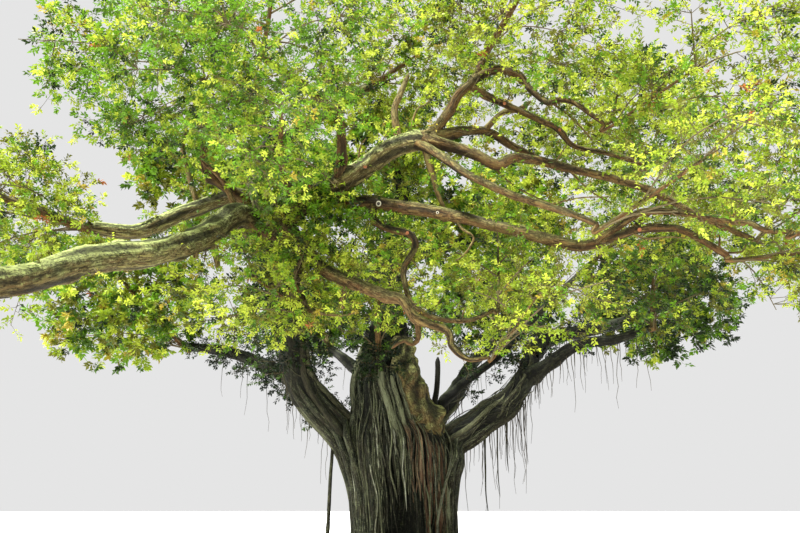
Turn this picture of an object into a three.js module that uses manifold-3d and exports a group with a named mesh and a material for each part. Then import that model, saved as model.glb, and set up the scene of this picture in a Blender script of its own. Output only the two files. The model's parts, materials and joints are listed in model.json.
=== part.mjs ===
// A banyan: a broad trunk clad in fused aerial roots, its boughs, the roots that hang from them,
// and the masses of foliage that make up a wide, low-domed crown.
// Millimetres, +Z up. The origin is the middle of the trunk's foot, at ground level.
// +X is the tree's right and -Y is the side that most of the long limbs reach out over.

import * as THREE from "three";
import { mergeVertices } from "three/addons/utils/BufferGeometryUtils.js";
import Module from "manifold-3d";

const wasm = await Module();
wasm.setup();

// Clearance between one piece and the next, and how near two corners are the same corner
const GAP = 0.3;
const WELD = 1e-3;

// The trunk, station by station: height, half width, half depth and sideways shift of its middle
const TRUNK_STATIONS = [
  { height: 0, width: 2050, depth: 2000, shift: 100 },
  { height: 300, width: 1760, depth: 1720, shift: 110 },
  { height: 800, width: 1600, depth: 1560, shift: 130 },
  { height: 2000, width: 1620, depth: 1540, shift: 80 },
  { height: 3000, width: 1720, depth: 1580, shift: 0 },
  { height: 3700, width: 1740, depth: 1560, shift: -60 },
  { height: 4400, width: 1400, depth: 1300, shift: -240 },
  { height: 5700, width: 1110, depth: 1060, shift: -470 },
  { height: 7000, width: 840, depth: 800, shift: -450 },
];
const TRUNK_SIDES = 34;
const TRUNK_STEPS = 12;
const TRUNK_CROWDING = 1.25; // over 1 puts more of its rings low down, where it flares

// The root columns that have fused into the trunk stand out of it as rounded ribs
const RIBS = 12;
const RIB_SEED = 11;
const RIB_WIDTH = 0.18;
const RIB_HEIGHT = [0.05, 0.13];
const RIB_JITTER = 0.7;
const RIB_TWIST = 0.05;
const FLARE_HEIGHT = 500;
const FLARE_GAIN = 1.6;

// A pale stem fused to the trunk's front leans from its head down to its right shoulder
const LEANING_STEM = {
  course: [[100, -560, 6900], [240, -900, 5900], [500, -1080, 5100], [960, -960, 4400], [1280, -620, 3800]],
  thick: [640, 760],
  sides: 7,
  steps: 5,
};

// How finely a limb is faceted
const STEPS_PER_METRE = 0.9;
const LEAST_STEPS = 3;
const MOST_STEPS = 9;
const SIDES_FROM_THICKNESS = [[600, 8], [350, 6], [0, 5]];

// A limb's first stretch is a collar, fused to what it springs from. Its length comes from the
// radius of its parent and its own, and from how squarely it springs.
const COLLAR_PARENT = 1.15;
const COLLAR_OWN = 0.8;
const COLLAR_LEAST_SINE = 0.42;
const COLLAR_SEARCH = 0.005;
const COLLAR_MOST = 0.8;

// Each limb springs from a point along another limb (at, from 0 at its foot to 1 at its tip) or from
// a foot on the trunk. thick is its diameter at both ends. A run is a length, a heading (0 is +X,
// 90 is +Y) and a climb above level in degrees: the limb is one smooth curve through its runs.
// crown is the mass of foliage at its tip: the mass's middle, its half spread and its half depth.
const LIMBS = {
  left_bough: {
    from: "trunk", foot: [-1450, 0, 3500], collar: 1650, thick: [1060, 760],
    runs: [[2500, -170, 47], [1800, -110, 57], [2000, -96, 46], [1800, -98, 40]],
  },
  near_left: {
    from: "left_bough", at: 0.86, thick: [700, 600],
    runs: [[2100, -116, 21], [1900, -112, -36], [2100, -117, -30], [2100, -113, -22], [2100, -108, -28],
      [1300, -130, -8], [1300, -152, 14]],
    crown: { middle: [-11000, -12500, 7600], spread: 3400, depth: 2400 },
  },
  far_left: {
    from: "left_bough", at: 0.66, thick: [680, 400],
    runs: [[1900, -158, 70], [1900, -176, 60], [1600, -165, -20], [1800, -160, -32], [1500, -157, -4]],
    crown: { middle: [-12000, -5000, 9600], spread: 3800, depth: 2800 },
  },
  rising_left: {
    from: "far_left", at: 0.36, thick: [340, 180],
    runs: [[2100, -118, 8], [1600, -75, 22], [1600, -59, 12]],
    crown: { middle: [-6400, -7200, 12600], spread: 3800, depth: 2600 },
  },
  high_centre: {
    from: "left_bough", at: 0.95, thick: [580, 240],
    runs: [[2800, 140, 66], [1700, -10, 50], [2100, -10, 32], [1000, -10, 27]],
    crown: { middle: [600, -3600, 15300], spread: 3800, depth: 2100 },
  },
  main_front: {
    from: "left_bough", at: 1, collar: 1300, thick: [720, 500],
    runs: [[1500, -47, 20], [1800, -34, 11], [1500, -27, 23], [1000, -23, 5]],
  },
  front_high: {
    from: "main_front", at: 0.45, thick: [300, 160],
    runs: [[1900, -88, 32], [1400, -122, 13], [1500, -125, 3]],
    crown: { middle: [-2900, -10600, 12000], spread: 3500, depth: 2400 },
  },
  arch_limb: {
    from: "main_front", at: 0.9, thick: [300, 240],
    runs: [[600, -14, 28], [700, -11, 54], [500, -27, 55], [500, -27, 34], [600, -30, 62]],
    crown: { middle: [2900, -10200, 12600], spread: 3200, depth: 2300 },
  },
  arch_fall: {
    from: "arch_limb", at: 0.8, thick: [250, 100],
    runs: [[400, -12, 30], [400, -18, 4], [300, -11, -22], [300, 8, -25], [400, 3, -60], [600, -12, -48],
      [400, -29, -8], [400, -38, -31], [600, -34, -48], [500, -32, -50]],
    crown: { middle: [7100, -10000, 10900], spread: 3000, depth: 2100 },
  },
  arch_lower: {
    from: "arch_limb", at: 0.74, thick: [200, 120],
    runs: [[900, 20, -21], [1100, 13, -20], [800, 28, -11], [700, 32, -31], [1100, 23, 0],
      [1300, 25, -4]],
    crown: { middle: [6500, -4000, 13200], spread: 3500, depth: 2300 },
  },
  twin_upper: {
    from: "main_front", at: 1, thick: [300, 180],
    runs: [[1000, 18, 21], [900, 28, 13], [900, 28, -15], [1100, 21, -17]],
  },
  long_right: {
    from: "main_front", at: 0.97, thick: [340, 150],
    runs: [[1300, -16, -24], [800, 0, -27], [600, 0, 18], [1500, 8, -9], [2000, 12, -10], [1800, 17, -20],
      [1700, 18, -15]],
    crown: { middle: [11400, -5200, 9800], spread: 3300, depth: 2400 },
  },
  lower_right: {
    from: "main_front", at: 0.88, thick: [260, 130],
    runs: [[800, -40, -36], [800, -50, -42], [900, -47, -42], [1500, -37, -35], [1600, -37, -30],
      [600, -31, -33]],
    crown: { middle: [6600, -11200, 8200], spread: 2500, depth: 1700 },
  },
  wide_right: {
    from: "main_front", at: 0.27, thick: [400, 150],
    runs: [[1900, -24, -11], [1300, -20, -15], [1000, -14, -15], [1500, -15, -19], [1600, -13, -20],
      [700, -21, -17], [800, -13, 12], [600, -4, 17], [900, -7, -1], [600, -2, -27], [800, -5, -37]],
    crown: { middle: [10400, -8000, 7100], spread: 2300, depth: 1600 },
  },
  right_tip: {
    from: "wide_right", at: 0.58, thick: [200, 120],
    runs: [[1000, -15, 33], [400, -22, 21], [500, -23, -7], [600, -30, -19], [800, -23, -21],
      [500, -22, -14], [400, -26, -36], [500, -34, -14]],
    crown: { middle: [12200, -10600, 8400], spread: 2600, depth: 2000 },
  },
  drooping: {
    from: "main_front", at: 0.1, thick: [400, 90],
    runs: [[2000, -54, -41], [1300, -45, -43], [1800, -26, -26], [600, -27, -22], [600, -23, -54],
      [800, -9, -25], [400, 5, -71], [500, -19, -40], [500, 1, 5]],
    crown: { middle: [3300, -8200, 6100], spread: 2200, depth: 1300 },
  },
  kinked: {
    from: "wide_right", at: 0.114, thick: [220, 100],
    runs: [[500, -106, -76], [500, -11, -40], [700, -24, -22], [400, -20, -66], [700, -152, -62],
      [500, -79, -75], [700, -46, -63], [700, -21, -33], [800, 9, -1], [700, 9, 24]],
    crown: { middle: [2700, -5500, 8000], spread: 2700, depth: 2100 },
  },
  hanging_left: {
    from: "drooping", at: 0.1, thick: [240, 130],
    runs: [[900, -120, -72], [700, -31, -75], [500, -18, -59]],
    crown: { middle: [-4000, -6000, 7000], spread: 2600, depth: 1900 },
  },
  trunk_front: {
    from: "trunk", foot: [-500, -600, 5500], fused: true, thick: [300, 240],
    runs: [[900, -100, 40], [500, -100, 45]],
    crown: { middle: [-700, -3400, 8400], spread: 2400, depth: 2200 },
  },
  centre_stem: {
    from: "trunk", foot: [-450, 50, 6500], collar: 900, thick: [1240, 720],
    runs: [[2500, 76, 85], [2100, 44, 78]],
  },
  top_bough: {
    from: "centre_stem", at: 1, thick: [700, 280],
    runs: [[1600, 57, 78], [1400, 161, 77]],
    crown: { middle: [-800, 2200, 15200], spread: 3800, depth: 2000 },
  },
  back_high_left: {
    from: "centre_stem", at: 0.5, thick: [500, 240],
    runs: [[2900, 159, 34], [2400, 175, 30]],
    crown: { middle: [-6400, 600, 13000], spread: 4000, depth: 2600 },
  },
  back_high_right: {
    from: "centre_stem", at: 0.7, thick: [500, 240],
    runs: [[3300, 46, 25], [2200, 51, 23]],
    crown: { middle: [3900, 4800, 13200], spread: 4000, depth: 2600 },
  },
  back_bough: {
    from: "trunk", foot: [-300, 1200, 3700], collar: 1300, thick: [840, 320],
    runs: [[3000, 102, 42], [2800, 117, 29], [2900, 118, 26]],
    crown: { middle: [-4400, 9600, 10600], spread: 4000, depth: 2800 },
  },
  back_left_bough: {
    from: "trunk", foot: [-1300, 850, 3300], collar: 1350, thick: [760, 320],
    runs: [[3500, 146, 42], [3400, 149, 27], [3000, 155, 13]],
    crown: { middle: [-11000, 3400, 9400], spread: 4000, depth: 3000 },
  },
  back_right_bough: {
    from: "trunk", foot: [700, 1050, 3700], collar: 1300, thick: [760, 320],
    runs: [[3400, 60, 36], [3000, 68, 32], [3000, 65, 24]],
    crown: { middle: [4600, 10400, 10900], spread: 4000, depth: 2600 },
  },
  right_bough: {
    from: "trunk", foot: [1300, 0, 3400], collar: 1250, thick: [1000, 600],
    runs: [[1800, 0, 33], [1000, 7, 37], [1100, 16, 50], [900, 55, 66]],
  },
  right_far: {
    from: "right_bough", at: 1, thick: [560, 260],
    runs: [[1300, 33, 31], [2300, 27, 15], [2600, 24, 19], [2300, 22, 23]],
    crown: { middle: [11000, 5800, 9900], spread: 3900, depth: 2900 },
  },
  right_near: {
    from: "right_bough", at: 0.72, thick: [480, 240],
    runs: [[1100, -42, 22], [1200, -47, 22], [1300, -37, 1], [1100, -34, 12]],
    crown: { middle: [7900, -2600, 8000], spread: 2600, depth: 1800 },
  },
  diagonal: {
    from: "trunk", foot: [700, 600, 4300], collar: 1000, thick: [360, 220],
    runs: [[2300, 28, 40], [1900, 23, 37], [2600, 13, 45], [2900, 5, 43]],
    crown: { middle: [9600, 400, 11600], spread: 3600, depth: 2400 },
  },
  front_low: {
    from: "main_front", at: 0.24, fused: true, thick: [220, 160],
    runs: [[1600, -98, 2], [1500, -84, -6]],
    crown: { middle: [-2500, -11000, 9100], spread: 2200, depth: 1700 },
  },
};

// Aerial roots that hang free, and one that has reached the ground beside the trunk
const ROOTS = {
  prop_root: { from: "left_bough", at: 0.1, thick: [100, 140], sway: 50, lean: [-100, -60] },
  hanging_root_1: { from: "right_bough", at: 0.24, thick: [90, 26], sway: 50, length: 2400 },
  hanging_root_2: { from: "right_bough", at: 0.35, thick: [70, 20], sway: 70, length: 2100 },
  hanging_root_3: { from: "right_bough", at: 0.47, thick: [80, 24], sway: 60, length: 1600 },
};
const ROOT_STUB = 120;
const ROOT_STUB_SPREAD = 1.3;
const ROOT_BENDS = [0.35, 0.7, 1];
const ROOT_SIDES = 6;
const ROOT_STEPS = 6;
const ROOT_SEED = 401;

// Foliage. A mass's stem leads on from its limb's tip and rises to its middle. Twigs fork off it,
// and arch over to places spread evenly round the mass's space. Three flat sprays of leaves stand
// on each twig. Shares are of the stem's or twig's length, or of the mass's spread and depth.
const TWIGS_PER_METRE = 1.32;
const GOLDEN_TURN = Math.PI * (3 - Math.sqrt(5));
const FIRST_SEED = 101;
const STEM = { sides: 5, steps: 3, taper: 0.6, least: 95, lead: 0.28, rise: 0.25 };
const TWIG = {
  sides: 3,
  steps: 2,
  least: 50,
  thick: [0.36, 0.26],
  fork: [0.97, 0.35],
  forkJitter: 0.6,
  reach: [0.6, 0.76],
  arch: 0.1,
  clearFrom: 0.35,
};
const SPRAYS = [
  { share: 0.55, lean: 1.2 },
  { share: 0.78, lean: -1.1 },
  { share: 0.97, lean: 0.5 },
];
const SPRAY = {
  length: 0.5,
  width: 0.56,
  thick: 0.06,
  vary: [0.85, 1.15],
  turn: [0.7, 1.3],
  droop: [-0.35, 0.45],
  roll: [-0.7, 0.7],
};

// Where a spray is tested for what it would touch: shares of its half length and half width
const SPRAY_TESTS = [[-0.5, 0], [0, 0], [0.5, 0], [1, 0], [0, 1], [0, -1]];
for (const side of [-1, 1]) SPRAY_TESTS.push([-0.5, 0.5 * side], [0, 0.5 * side], [0.5, 0.5 * side]);
for (const side of [-1, 1]) SPRAY_TESTS.push([-0.25, 0.75 * side], [0.25, 0.75 * side]);
const SPACE_MARGIN = 60;
const LIMB_CLEARANCE = 130;
const BONE_SPACING = 150;
const TRIES = [1, 0.82, 0.66, 0.5];

const MATERIALS = {
  trunk: { color: 0x5c5040, roughness: 0.95 },
  limb: { color: 0x6e5840, roughness: 0.9 },
  root: { color: 0x55493b, roughness: 0.95 },
  foliage: { color: 0x7f9a2c, roughness: 0.6 },
};

const UP = new THREE.Vector3(0, 0, 1);

// A stream of seeded numbers from 0 to 1
function seeded(seed) {
  let state = seed | 0;
  return () => {
    state = (state + 0x6d2b79f5) | 0;
    let mixed = Math.imul(state ^ (state >>> 15), 1 | state);
    mixed = (mixed + Math.imul(mixed ^ (mixed >>> 7), 61 | mixed)) ^ mixed;
    return ((mixed ^ (mixed >>> 14)) >>> 0) / 4294967296;
  };
}

const between = ([low, high], share) => low + (high - low) * share;

function headingVector(heading, climb) {
  const h = THREE.MathUtils.degToRad(heading);
  const c = THREE.MathUtils.degToRad(climb);
  return new THREE.Vector3(Math.cos(c) * Math.cos(h), Math.cos(c) * Math.sin(h), Math.sin(c));
}

const smoothCurve = (points) => new THREE.CatmullRomCurve3(points, false, "catmullrom", 0.5);

// A closed unit cylinder whose shared vertices are merged, ready to be bent along a curve
const cylinders = new Map();
function unitCylinder(sides, steps) {
  const key = sides + "x" + steps;
  if (!cylinders.has(key)) {
    const plain = new THREE.CylinderGeometry(1, 1, 1, sides, steps);
    plain.deleteAttribute("normal");
    plain.deleteAttribute("uv");
    cylinders.set(key, mergeVertices(plain, WELD));
  }
  return cylinders.get(key).clone();
}

function unitOctahedron() {
  const plain = new THREE.OctahedronGeometry(1);
  plain.deleteAttribute("normal");
  plain.deleteAttribute("uv");
  return mergeVertices(plain, WELD);
}

function solidOf(geometry) {
  const mesh = new wasm.Mesh({
    numProp: 3,
    vertProperties: new Float32Array(geometry.attributes.position.array),
    triVerts: new Uint32Array(geometry.index.array),
  });
  return new wasm.Manifold(mesh);
}

function geometryOf(solid) {
  const { vertProperties, triVerts } = solid.getMesh();
  const geometry = new THREE.BufferGeometry();
  geometry.setAttribute("position", new THREE.BufferAttribute(new Float32Array(vertProperties), 3));
  geometry.setIndex(new THREE.BufferAttribute(new Uint32Array(triVerts), 1));
  return geometry;
}

function largestBody(solid) {
  return solid.decompose().reduce((kept, body) => (body.volume() > kept.volume() ? body : kept));
}

// Solids joined to one, with sealed hollows filled and loose scraps dropped. Corners that meet once
// they are written as 32-bit numbers can close off a hollow more, so it is done again on those.
function fuse(pieces) {
  const joined = largestBody(wasm.Manifold.union(pieces));
  return largestBody(solidOf(mergeVertices(geometryOf(joined), WELD)));
}

// Frames carried along a curve without twist, one at each of these shares of it
function carriedFrames(curve, shares) {
  const frames = [];
  for (const share of shares) {
    const point = curve.getPoint(share);
    const along = curve.getTangent(share);
    const before = frames.at(-1);
    const guess = before ? before.side : Math.abs(along.z) > 0.8 ? new THREE.Vector3(1, 0, 0) : UP;
    const side = guess.clone().addScaledVector(along, -guess.dot(along)).normalize();
    frames.push({ share, point, along, side, across: side.clone().cross(along) });
  }
  return frames;
}

const evenShares = (from, to, steps) =>
  Array.from({ length: steps + 1 }, (_, i) => from + ((to - from) * i) / steps);

// A tapering tube along a curve, ringed at these shares and closed by a flat cut at each end.
// The first rings can be left out, and the start then lifted clear of what is under it.
function tube(curve, thick, sides, shares, leftOut = 0, lift = 0) {
  const frames = carriedFrames(curve, shares).slice(leftOut);
  const steps = frames.length - 1;
  const geometry = unitCylinder(sides, steps);
  const places = geometry.attributes.position;
  for (let i = 0; i < places.count; i++) {
    const ring = Math.round((places.getY(i) + 0.5) * steps);
    const { share, point, along, side, across } = frames[ring];
    const radius = between(thick, share) / 2;
    const place = point
      .clone()
      .addScaledVector(side, places.getX(i) * radius)
      .addScaledVector(across, places.getZ(i) * radius)
      .addScaledVector(along, ring === 0 ? lift : 0);
    places.setXYZ(i, place.x, place.y, place.z);
  }
  return solidOf(geometry);
}

// Every limb's curve, worked out from its runs
const limbs = new Map();
for (const [name, spec] of Object.entries(LIMBS)) {
  const parent = limbs.get(spec.from);
  const points = [parent ? parent.curve.getPoint(spec.at) : new THREE.Vector3(...spec.foot)];
  for (const [length, heading, climb] of spec.runs) {
    points.push(points.at(-1).clone().addScaledVector(headingVector(heading, climb), length));
  }
  const length = spec.runs.reduce((sum, [run]) => sum + run, 0);
  limbs.set(name, { name, ...spec, parent, curve: smoothCurve(points), length });
}

// How far along a limb its parent's collar runs: clear of the parent by its own thickness
function collarShare(limb) {
  const wanted = limb.collar ?? collarLength(limb);
  const start = limb.curve.getPoint(0);
  let share = COLLAR_SEARCH;
  while (share < COLLAR_MOST && limb.curve.getPoint(share).distanceTo(start) < wanted) {
    share += COLLAR_SEARCH;
  }
  return share;
}

function collarLength(limb) {
  const own = limb.thick[0] / 2;
  const parents = between(limb.parent.thick, limb.at) / 2;
  if (limb.at === 1) return COLLAR_PARENT * parents + COLLAR_OWN * own;
  const angle = limb.curve.getTangent(0).angleTo(limb.parent.curve.getTangent(limb.at));
  const sine = Math.max(Math.sin(angle), COLLAR_LEAST_SINE);
  return (COLLAR_PARENT * parents + own * Math.abs(Math.cos(angle))) / sine + COLLAR_OWN * own;
}

for (const limb of limbs.values()) {
  const sides = SIDES_FROM_THICKNESS.find(([thickness]) => limb.thick[0] > thickness)[1];
  const wanted = Math.round((limb.length / 1000) * STEPS_PER_METRE);
  const steps = Math.min(MOST_STEPS, Math.max(LEAST_STEPS, wanted));
  const seat = limb.fused ? 1 : collarShare(limb);
  limb.seat = seat;
  limb.holder = limb.parent && limb.at < limb.parent.seat ? limb.parent.holder : limb.from;
  const collar = evenShares(0, seat, 2);
  limb.collarBody = tube(limb.curve, limb.thick, sides, collar);
  if (limb.fused) continue;
  const rest = evenShares(seat, 1, steps);
  limb.body = tube(limb.curve, limb.thick, sides, [...collar.slice(0, 2), ...rest], 2, GAP);
}

// The trunk's outline at a height: smooth through its stations
function trunkAt(height) {
  const last = TRUNK_STATIONS.length - 1;
  let i = TRUNK_STATIONS.findIndex((station) => station.height > height);
  if (i < 0) i = last;
  const [a, b] = [TRUNK_STATIONS[i - 1], TRUNK_STATIONS[i]];
  const share = THREE.MathUtils.clamp((height - a.height) / (b.height - a.height), 0, 1);
  const eased = share * share * (3 - 2 * share);
  const mix = (key) => a[key] + (b[key] - a[key]) * (key === "shift" ? eased : share);
  return { width: mix("width"), depth: mix("depth"), shift: mix("shift") };
}

const ribStream = seeded(RIB_SEED);
const ribs = Array.from({ length: RIBS }, (_, i) => ({
  angle: ((i + RIB_JITTER * (ribStream() - 0.5)) / RIBS) * Math.PI * 2,
  height: between(RIB_HEIGHT, ribStream()),
}));

// How far the ribs push the trunk's skin out at an angle, as a share of its radius
function ribSwell(angle, height) {
  const flare = 1 + FLARE_GAIN * Math.exp(-height / FLARE_HEIGHT);
  let swell = 0;
  for (const rib of ribs) {
    const turned = angle - rib.angle - (RIB_TWIST * height) / 1000;
    const away = Math.atan2(Math.sin(turned), Math.cos(turned));
    swell += rib.height * Math.exp(-((away / RIB_WIDTH) ** 2));
  }
  return swell * flare;
}

function trunkColumn() {
  const top = TRUNK_STATIONS.at(-1).height;
  const geometry = unitCylinder(TRUNK_SIDES, TRUNK_STEPS);
  const places = geometry.attributes.position;
  for (let i = 0; i < places.count; i++) {
    const share = places.getY(i) + 0.5;
    const height = top * share ** TRUNK_CROWDING;
    const { width, depth, shift } = trunkAt(height);
    const angle = Math.atan2(places.getX(i), places.getZ(i));
    const radial = Math.hypot(places.getX(i), places.getZ(i));
    const swell = 1 + ribSwell(angle, height);
    places.setXYZ(
      i,
      shift + Math.sin(angle) * radial * width * swell,
      -Math.cos(angle) * radial * depth * swell,
      height,
    );
  }
  return solidOf(geometry);
}

function leaningStem() {
  const { course, thick, sides, steps } = LEANING_STEM;
  const curve = smoothCurve(course.map((place) => new THREE.Vector3(...place)));
  return tube(curve, thick, sides, evenShares(0, 1, steps));
}

// A root's course: out of the underside of its limb, then down with a slight sway.
// The one with no length of its own leans away and reaches the ground.
function rootCourse(root, index) {
  const rand = seeded(ROOT_SEED + index);
  const limb = limbs.get(root.from);
  const start = limb.curve.getPoint(root.at);
  const along = limb.curve.getTangent(root.at);
  const stub = between(limb.thick, root.at) / 2 / Math.hypot(along.x, along.y) + ROOT_STUB;
  const seat = start.clone().addScaledVector(UP, -stub);
  const drop = root.length ?? seat.z;
  const lean = root.lean ?? [0, 0];
  const course = [seat];
  for (const share of ROOT_BENDS) {
    const x = seat.x + lean[0] * share + between([-root.sway, root.sway], rand());
    const y = seat.y + lean[1] * share + between([-root.sway, root.sway], rand());
    course.push(new THREE.Vector3(x, y, seat.z - drop * share));
  }
  return { start, seat, curve: smoothCurve(course) };
}

const roots = Object.entries(ROOTS).map(([name, spec], index) => {
  const { start, seat, curve } = rootCourse(spec, index);
  const stub = new THREE.LineCurve3(start, seat);
  const limb = limbs.get(spec.from);
  return {
    name,
    holder: spec.at < limb.seat ? limb.from : limb.name,
    seat,
    curve,
    thick: spec.thick,
    stub: tube(stub, [spec.thick[0] * ROOT_STUB_SPREAD, spec.thick[0]], ROOT_SIDES, [0, 1]),
    body: hangingRoot(spec, curve),
  };
});

// A root below its seat: its rings stay level, so its top and a foot on the ground are flat
function hangingRoot(spec, curve) {
  const geometry = unitCylinder(ROOT_SIDES, ROOT_STEPS);
  const places = geometry.attributes.position;
  for (let i = 0; i < places.count; i++) {
    const share = 0.5 - places.getY(i);
    const middle = curve.getPoint(share);
    const radius = between(spec.thick, share) / 2;
    const gap = share === 0 ? GAP : 0;
    places.setXYZ(
      i,
      middle.x + places.getZ(i) * radius,
      middle.y + places.getX(i) * radius,
      share === 1 && !spec.length ? 0 : middle.z - gap,
    );
  }
  return solidOf(geometry);
}

// The masses of foliage, each with its own space: an oval cut by planes half way to its neighbours
const masses = [...limbs.values()]
  .filter((limb) => limb.crown)
  .map((limb, index) => {
    const middle = new THREE.Vector3(...limb.crown.middle);
    const tip = limb.curve.getPoint(1);
    const along = limb.curve.getTangent(1);
    const { spread, depth } = limb.crown;
    const far = middle.distanceTo(tip);
    const stem = smoothCurve([
      tip,
      tip.clone().addScaledVector(along, STEM.lead * far),
      middle.clone().addScaledVector(UP, STEM.rise * depth),
    ]);
    const twigs = Math.round((TWIGS_PER_METRE * spread) / 1000);
    const thick = [limb.thick[1], Math.max(limb.thick[1] * STEM.taper, STEM.least)];
    return { name: limb.name, limb, index, middle, spread, depth, stem, twigs, thick };
  });

function inSpace(point, mass, margin) {
  const away = point.clone().sub(mass.middle);
  const { spread, depth } = mass;
  const flat = Math.hypot(away.x, away.y) / (spread - margin);
  if (flat * flat + (away.z / (depth - margin)) ** 2 > 1) return false;
  return masses.every((other) => {
    if (other === mass) return true;
    const toOther = other.middle.clone().sub(mass.middle);
    const far = toOther.length();
    const share = mass.spread / (mass.spread + other.spread);
    return away.dot(toOther) / far <= far * share - margin;
  });
}

// Points along every limb, hanging root and stem, with the radius there
function bones(curve, thick, owner) {
  const count = Math.ceil(curve.getLength() / BONE_SPACING);
  return evenShares(0, 1, count).map((share) => ({
    owner,
    point: curve.getPoint(share),
    radius: between(thick, share) / 2,
  }));
}
const skeleton = [
  ...[...limbs.values(), ...roots].flatMap((limb) => bones(limb.curve, limb.thick, limb.name)),
  ...masses.flatMap((mass) => bones(mass.stem, mass.thick, mass)),
];

function clearOfLimbs(points, mass) {
  const others = skeleton.filter((bone) => bone.owner !== mass);
  return points.every((point) =>
    others.every((bone) => point.distanceTo(bone.point) > bone.radius + LIMB_CLEARANCE),
  );
}

// The middle line of a tube with straight stretches between its rings
function onTube(curve, steps, share) {
  const ring = Math.min(Math.floor(share * steps), steps - 1);
  const [start, end] = [curve.getPoint(ring / steps), curve.getPoint((ring + 1) / steps)];
  return { point: start.clone().lerp(end, share * steps - ring), along: end.sub(start).normalize() };
}

// One twig of a mass: it forks off the stem and arches over towards its place in the mass's space
function twigOf(mass, i, turn, rand) {
  const height = 1 - (2 * i + 1) / mass.twigs;
  const around = turn + i * GOLDEN_TURN;
  const level = Math.sqrt(1 - height * height);
  const reach = between(TWIG.reach, rand());
  const forkShare = between(TWIG.fork, (i + TWIG.forkJitter * rand()) / mass.twigs);
  const fork = onTube(mass.stem, STEM.steps, forkShare).point;
  for (const shorter of TRIES) {
    const end = new THREE.Vector3(
      mass.middle.x + Math.cos(around) * level * mass.spread * reach * shorter,
      mass.middle.y + Math.sin(around) * level * mass.spread * reach * shorter,
      mass.middle.z + height * mass.depth * reach * shorter,
    );
    const middle = fork.clone().lerp(end, 0.5).addScaledVector(UP, TWIG.arch * fork.distanceTo(end));
    const curve = smoothCurve([fork, middle, end]);
    const outer = evenShares(TWIG.clearFrom, 1, 6).map((share) => curve.getPoint(share));
    if (outer.every((p) => inSpace(p, mass, SPACE_MARGIN * 2)) && clearOfLimbs(outer, mass)) return curve;
  }
  return null;
}

// A spray of leaves as one flat eight-faced leaf, its root sunk to the middle of the twig
function sprayOf(mass, curve, { share, lean }, rand) {
  const { point: root, along } = onTube(curve, TWIG.steps, share);
  const sideways = along.clone().cross(UP).normalize();
  const blade = along.clone().addScaledVector(sideways, lean * between(SPRAY.turn, rand()));
  blade.addScaledVector(UP, between(SPRAY.droop, rand())).normalize();
  const across = blade.clone().cross(UP).normalize().applyAxisAngle(blade, between(SPRAY.roll, rand()));
  const face = blade.clone().cross(across);
  const whole = SPRAY.length * mass.spread * between(SPRAY.vary, rand());
  for (const shorter of TRIES) {
    const half = (whole * shorter) / 2;
    const centre = root.clone().addScaledVector(blade, half);
    const axes = [blade, across, face].map((axis) => axis.clone());
    [1, SPRAY.width, SPRAY.thick].forEach((size, i) => axes[i].multiplyScalar(half * size));
    const tested = SPRAY_TESTS.map(([forward, side]) =>
      centre.clone().addScaledVector(axes[0], forward).addScaledVector(axes[1], side),
    );
    if (tested.every((p) => inSpace(p, mass, SPACE_MARGIN)) && clearOfLimbs(tested, mass)) {
      const basis = new THREE.Matrix4().makeBasis(...axes).setPosition(centre);
      return solidOf(unitOctahedron().applyMatrix4(basis));
    }
  }
  return null;
}

function massSolid(mass) {
  const rand = seeded(FIRST_SEED + mass.index);
  const turn = rand() * Math.PI * 2;
  const pieces = [tube(mass.stem, mass.thick, STEM.sides, evenShares(0, 1, STEM.steps), 0, GAP)];
  for (let i = 0; i < mass.twigs; i++) {
    const curve = twigOf(mass, i, turn, rand);
    if (!curve) continue;
    const thick = TWIG.thick.map((share) => Math.max(share * mass.thick[0], TWIG.least));
    pieces.push(tube(curve, thick, TWIG.sides, evenShares(0, 1, TWIG.steps)));
    pieces.push(...SPRAYS.map((spray) => sprayOf(mass, curve, spray, rand)).filter(Boolean));
  }
  return fuse(pieces);
}

// The finished nodes
function childrenCollars(name) {
  return [...limbs.values()].filter((limb) => limb.holder === name).map((limb) => limb.collarBody);
}
function rootStubs(name) {
  return roots.filter((root) => root.holder === name).map((root) => root.stub);
}

const tree = new THREE.Group();
tree.name = "banyan_tree";

function place(name, solid, origin, material) {
  const geometry = geometryOf(solid);
  geometry.translate(-origin.x, -origin.y, -origin.z);
  geometry.computeVertexNormals();
  const finish = new THREE.MeshStandardMaterial({ metalness: 0, ...MATERIALS[material] });
  const mesh = new THREE.Mesh(geometry, finish);
  mesh.name = name;
  mesh.position.copy(origin);
  tree.add(mesh);
}

const trunk = fuse([trunkColumn(), leaningStem(), ...childrenCollars("trunk"), ...rootStubs("trunk")]);
place("trunk", trunk, new THREE.Vector3(), "trunk");

for (const limb of limbs.values()) {
  if (limb.fused) continue;
  const parts = [limb.body, ...childrenCollars(limb.name), ...rootStubs(limb.name)];
  place(limb.name, fuse(parts), limb.curve.getPoint(0), "limb");
}
for (const root of roots) place(root.name, root.body, root.seat, "root");
for (const mass of masses) place("foliage_" + mass.name, massSolid(mass), mass.stem.getPoint(0), "foliage");

export default tree;
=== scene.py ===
import json
import math

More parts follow.
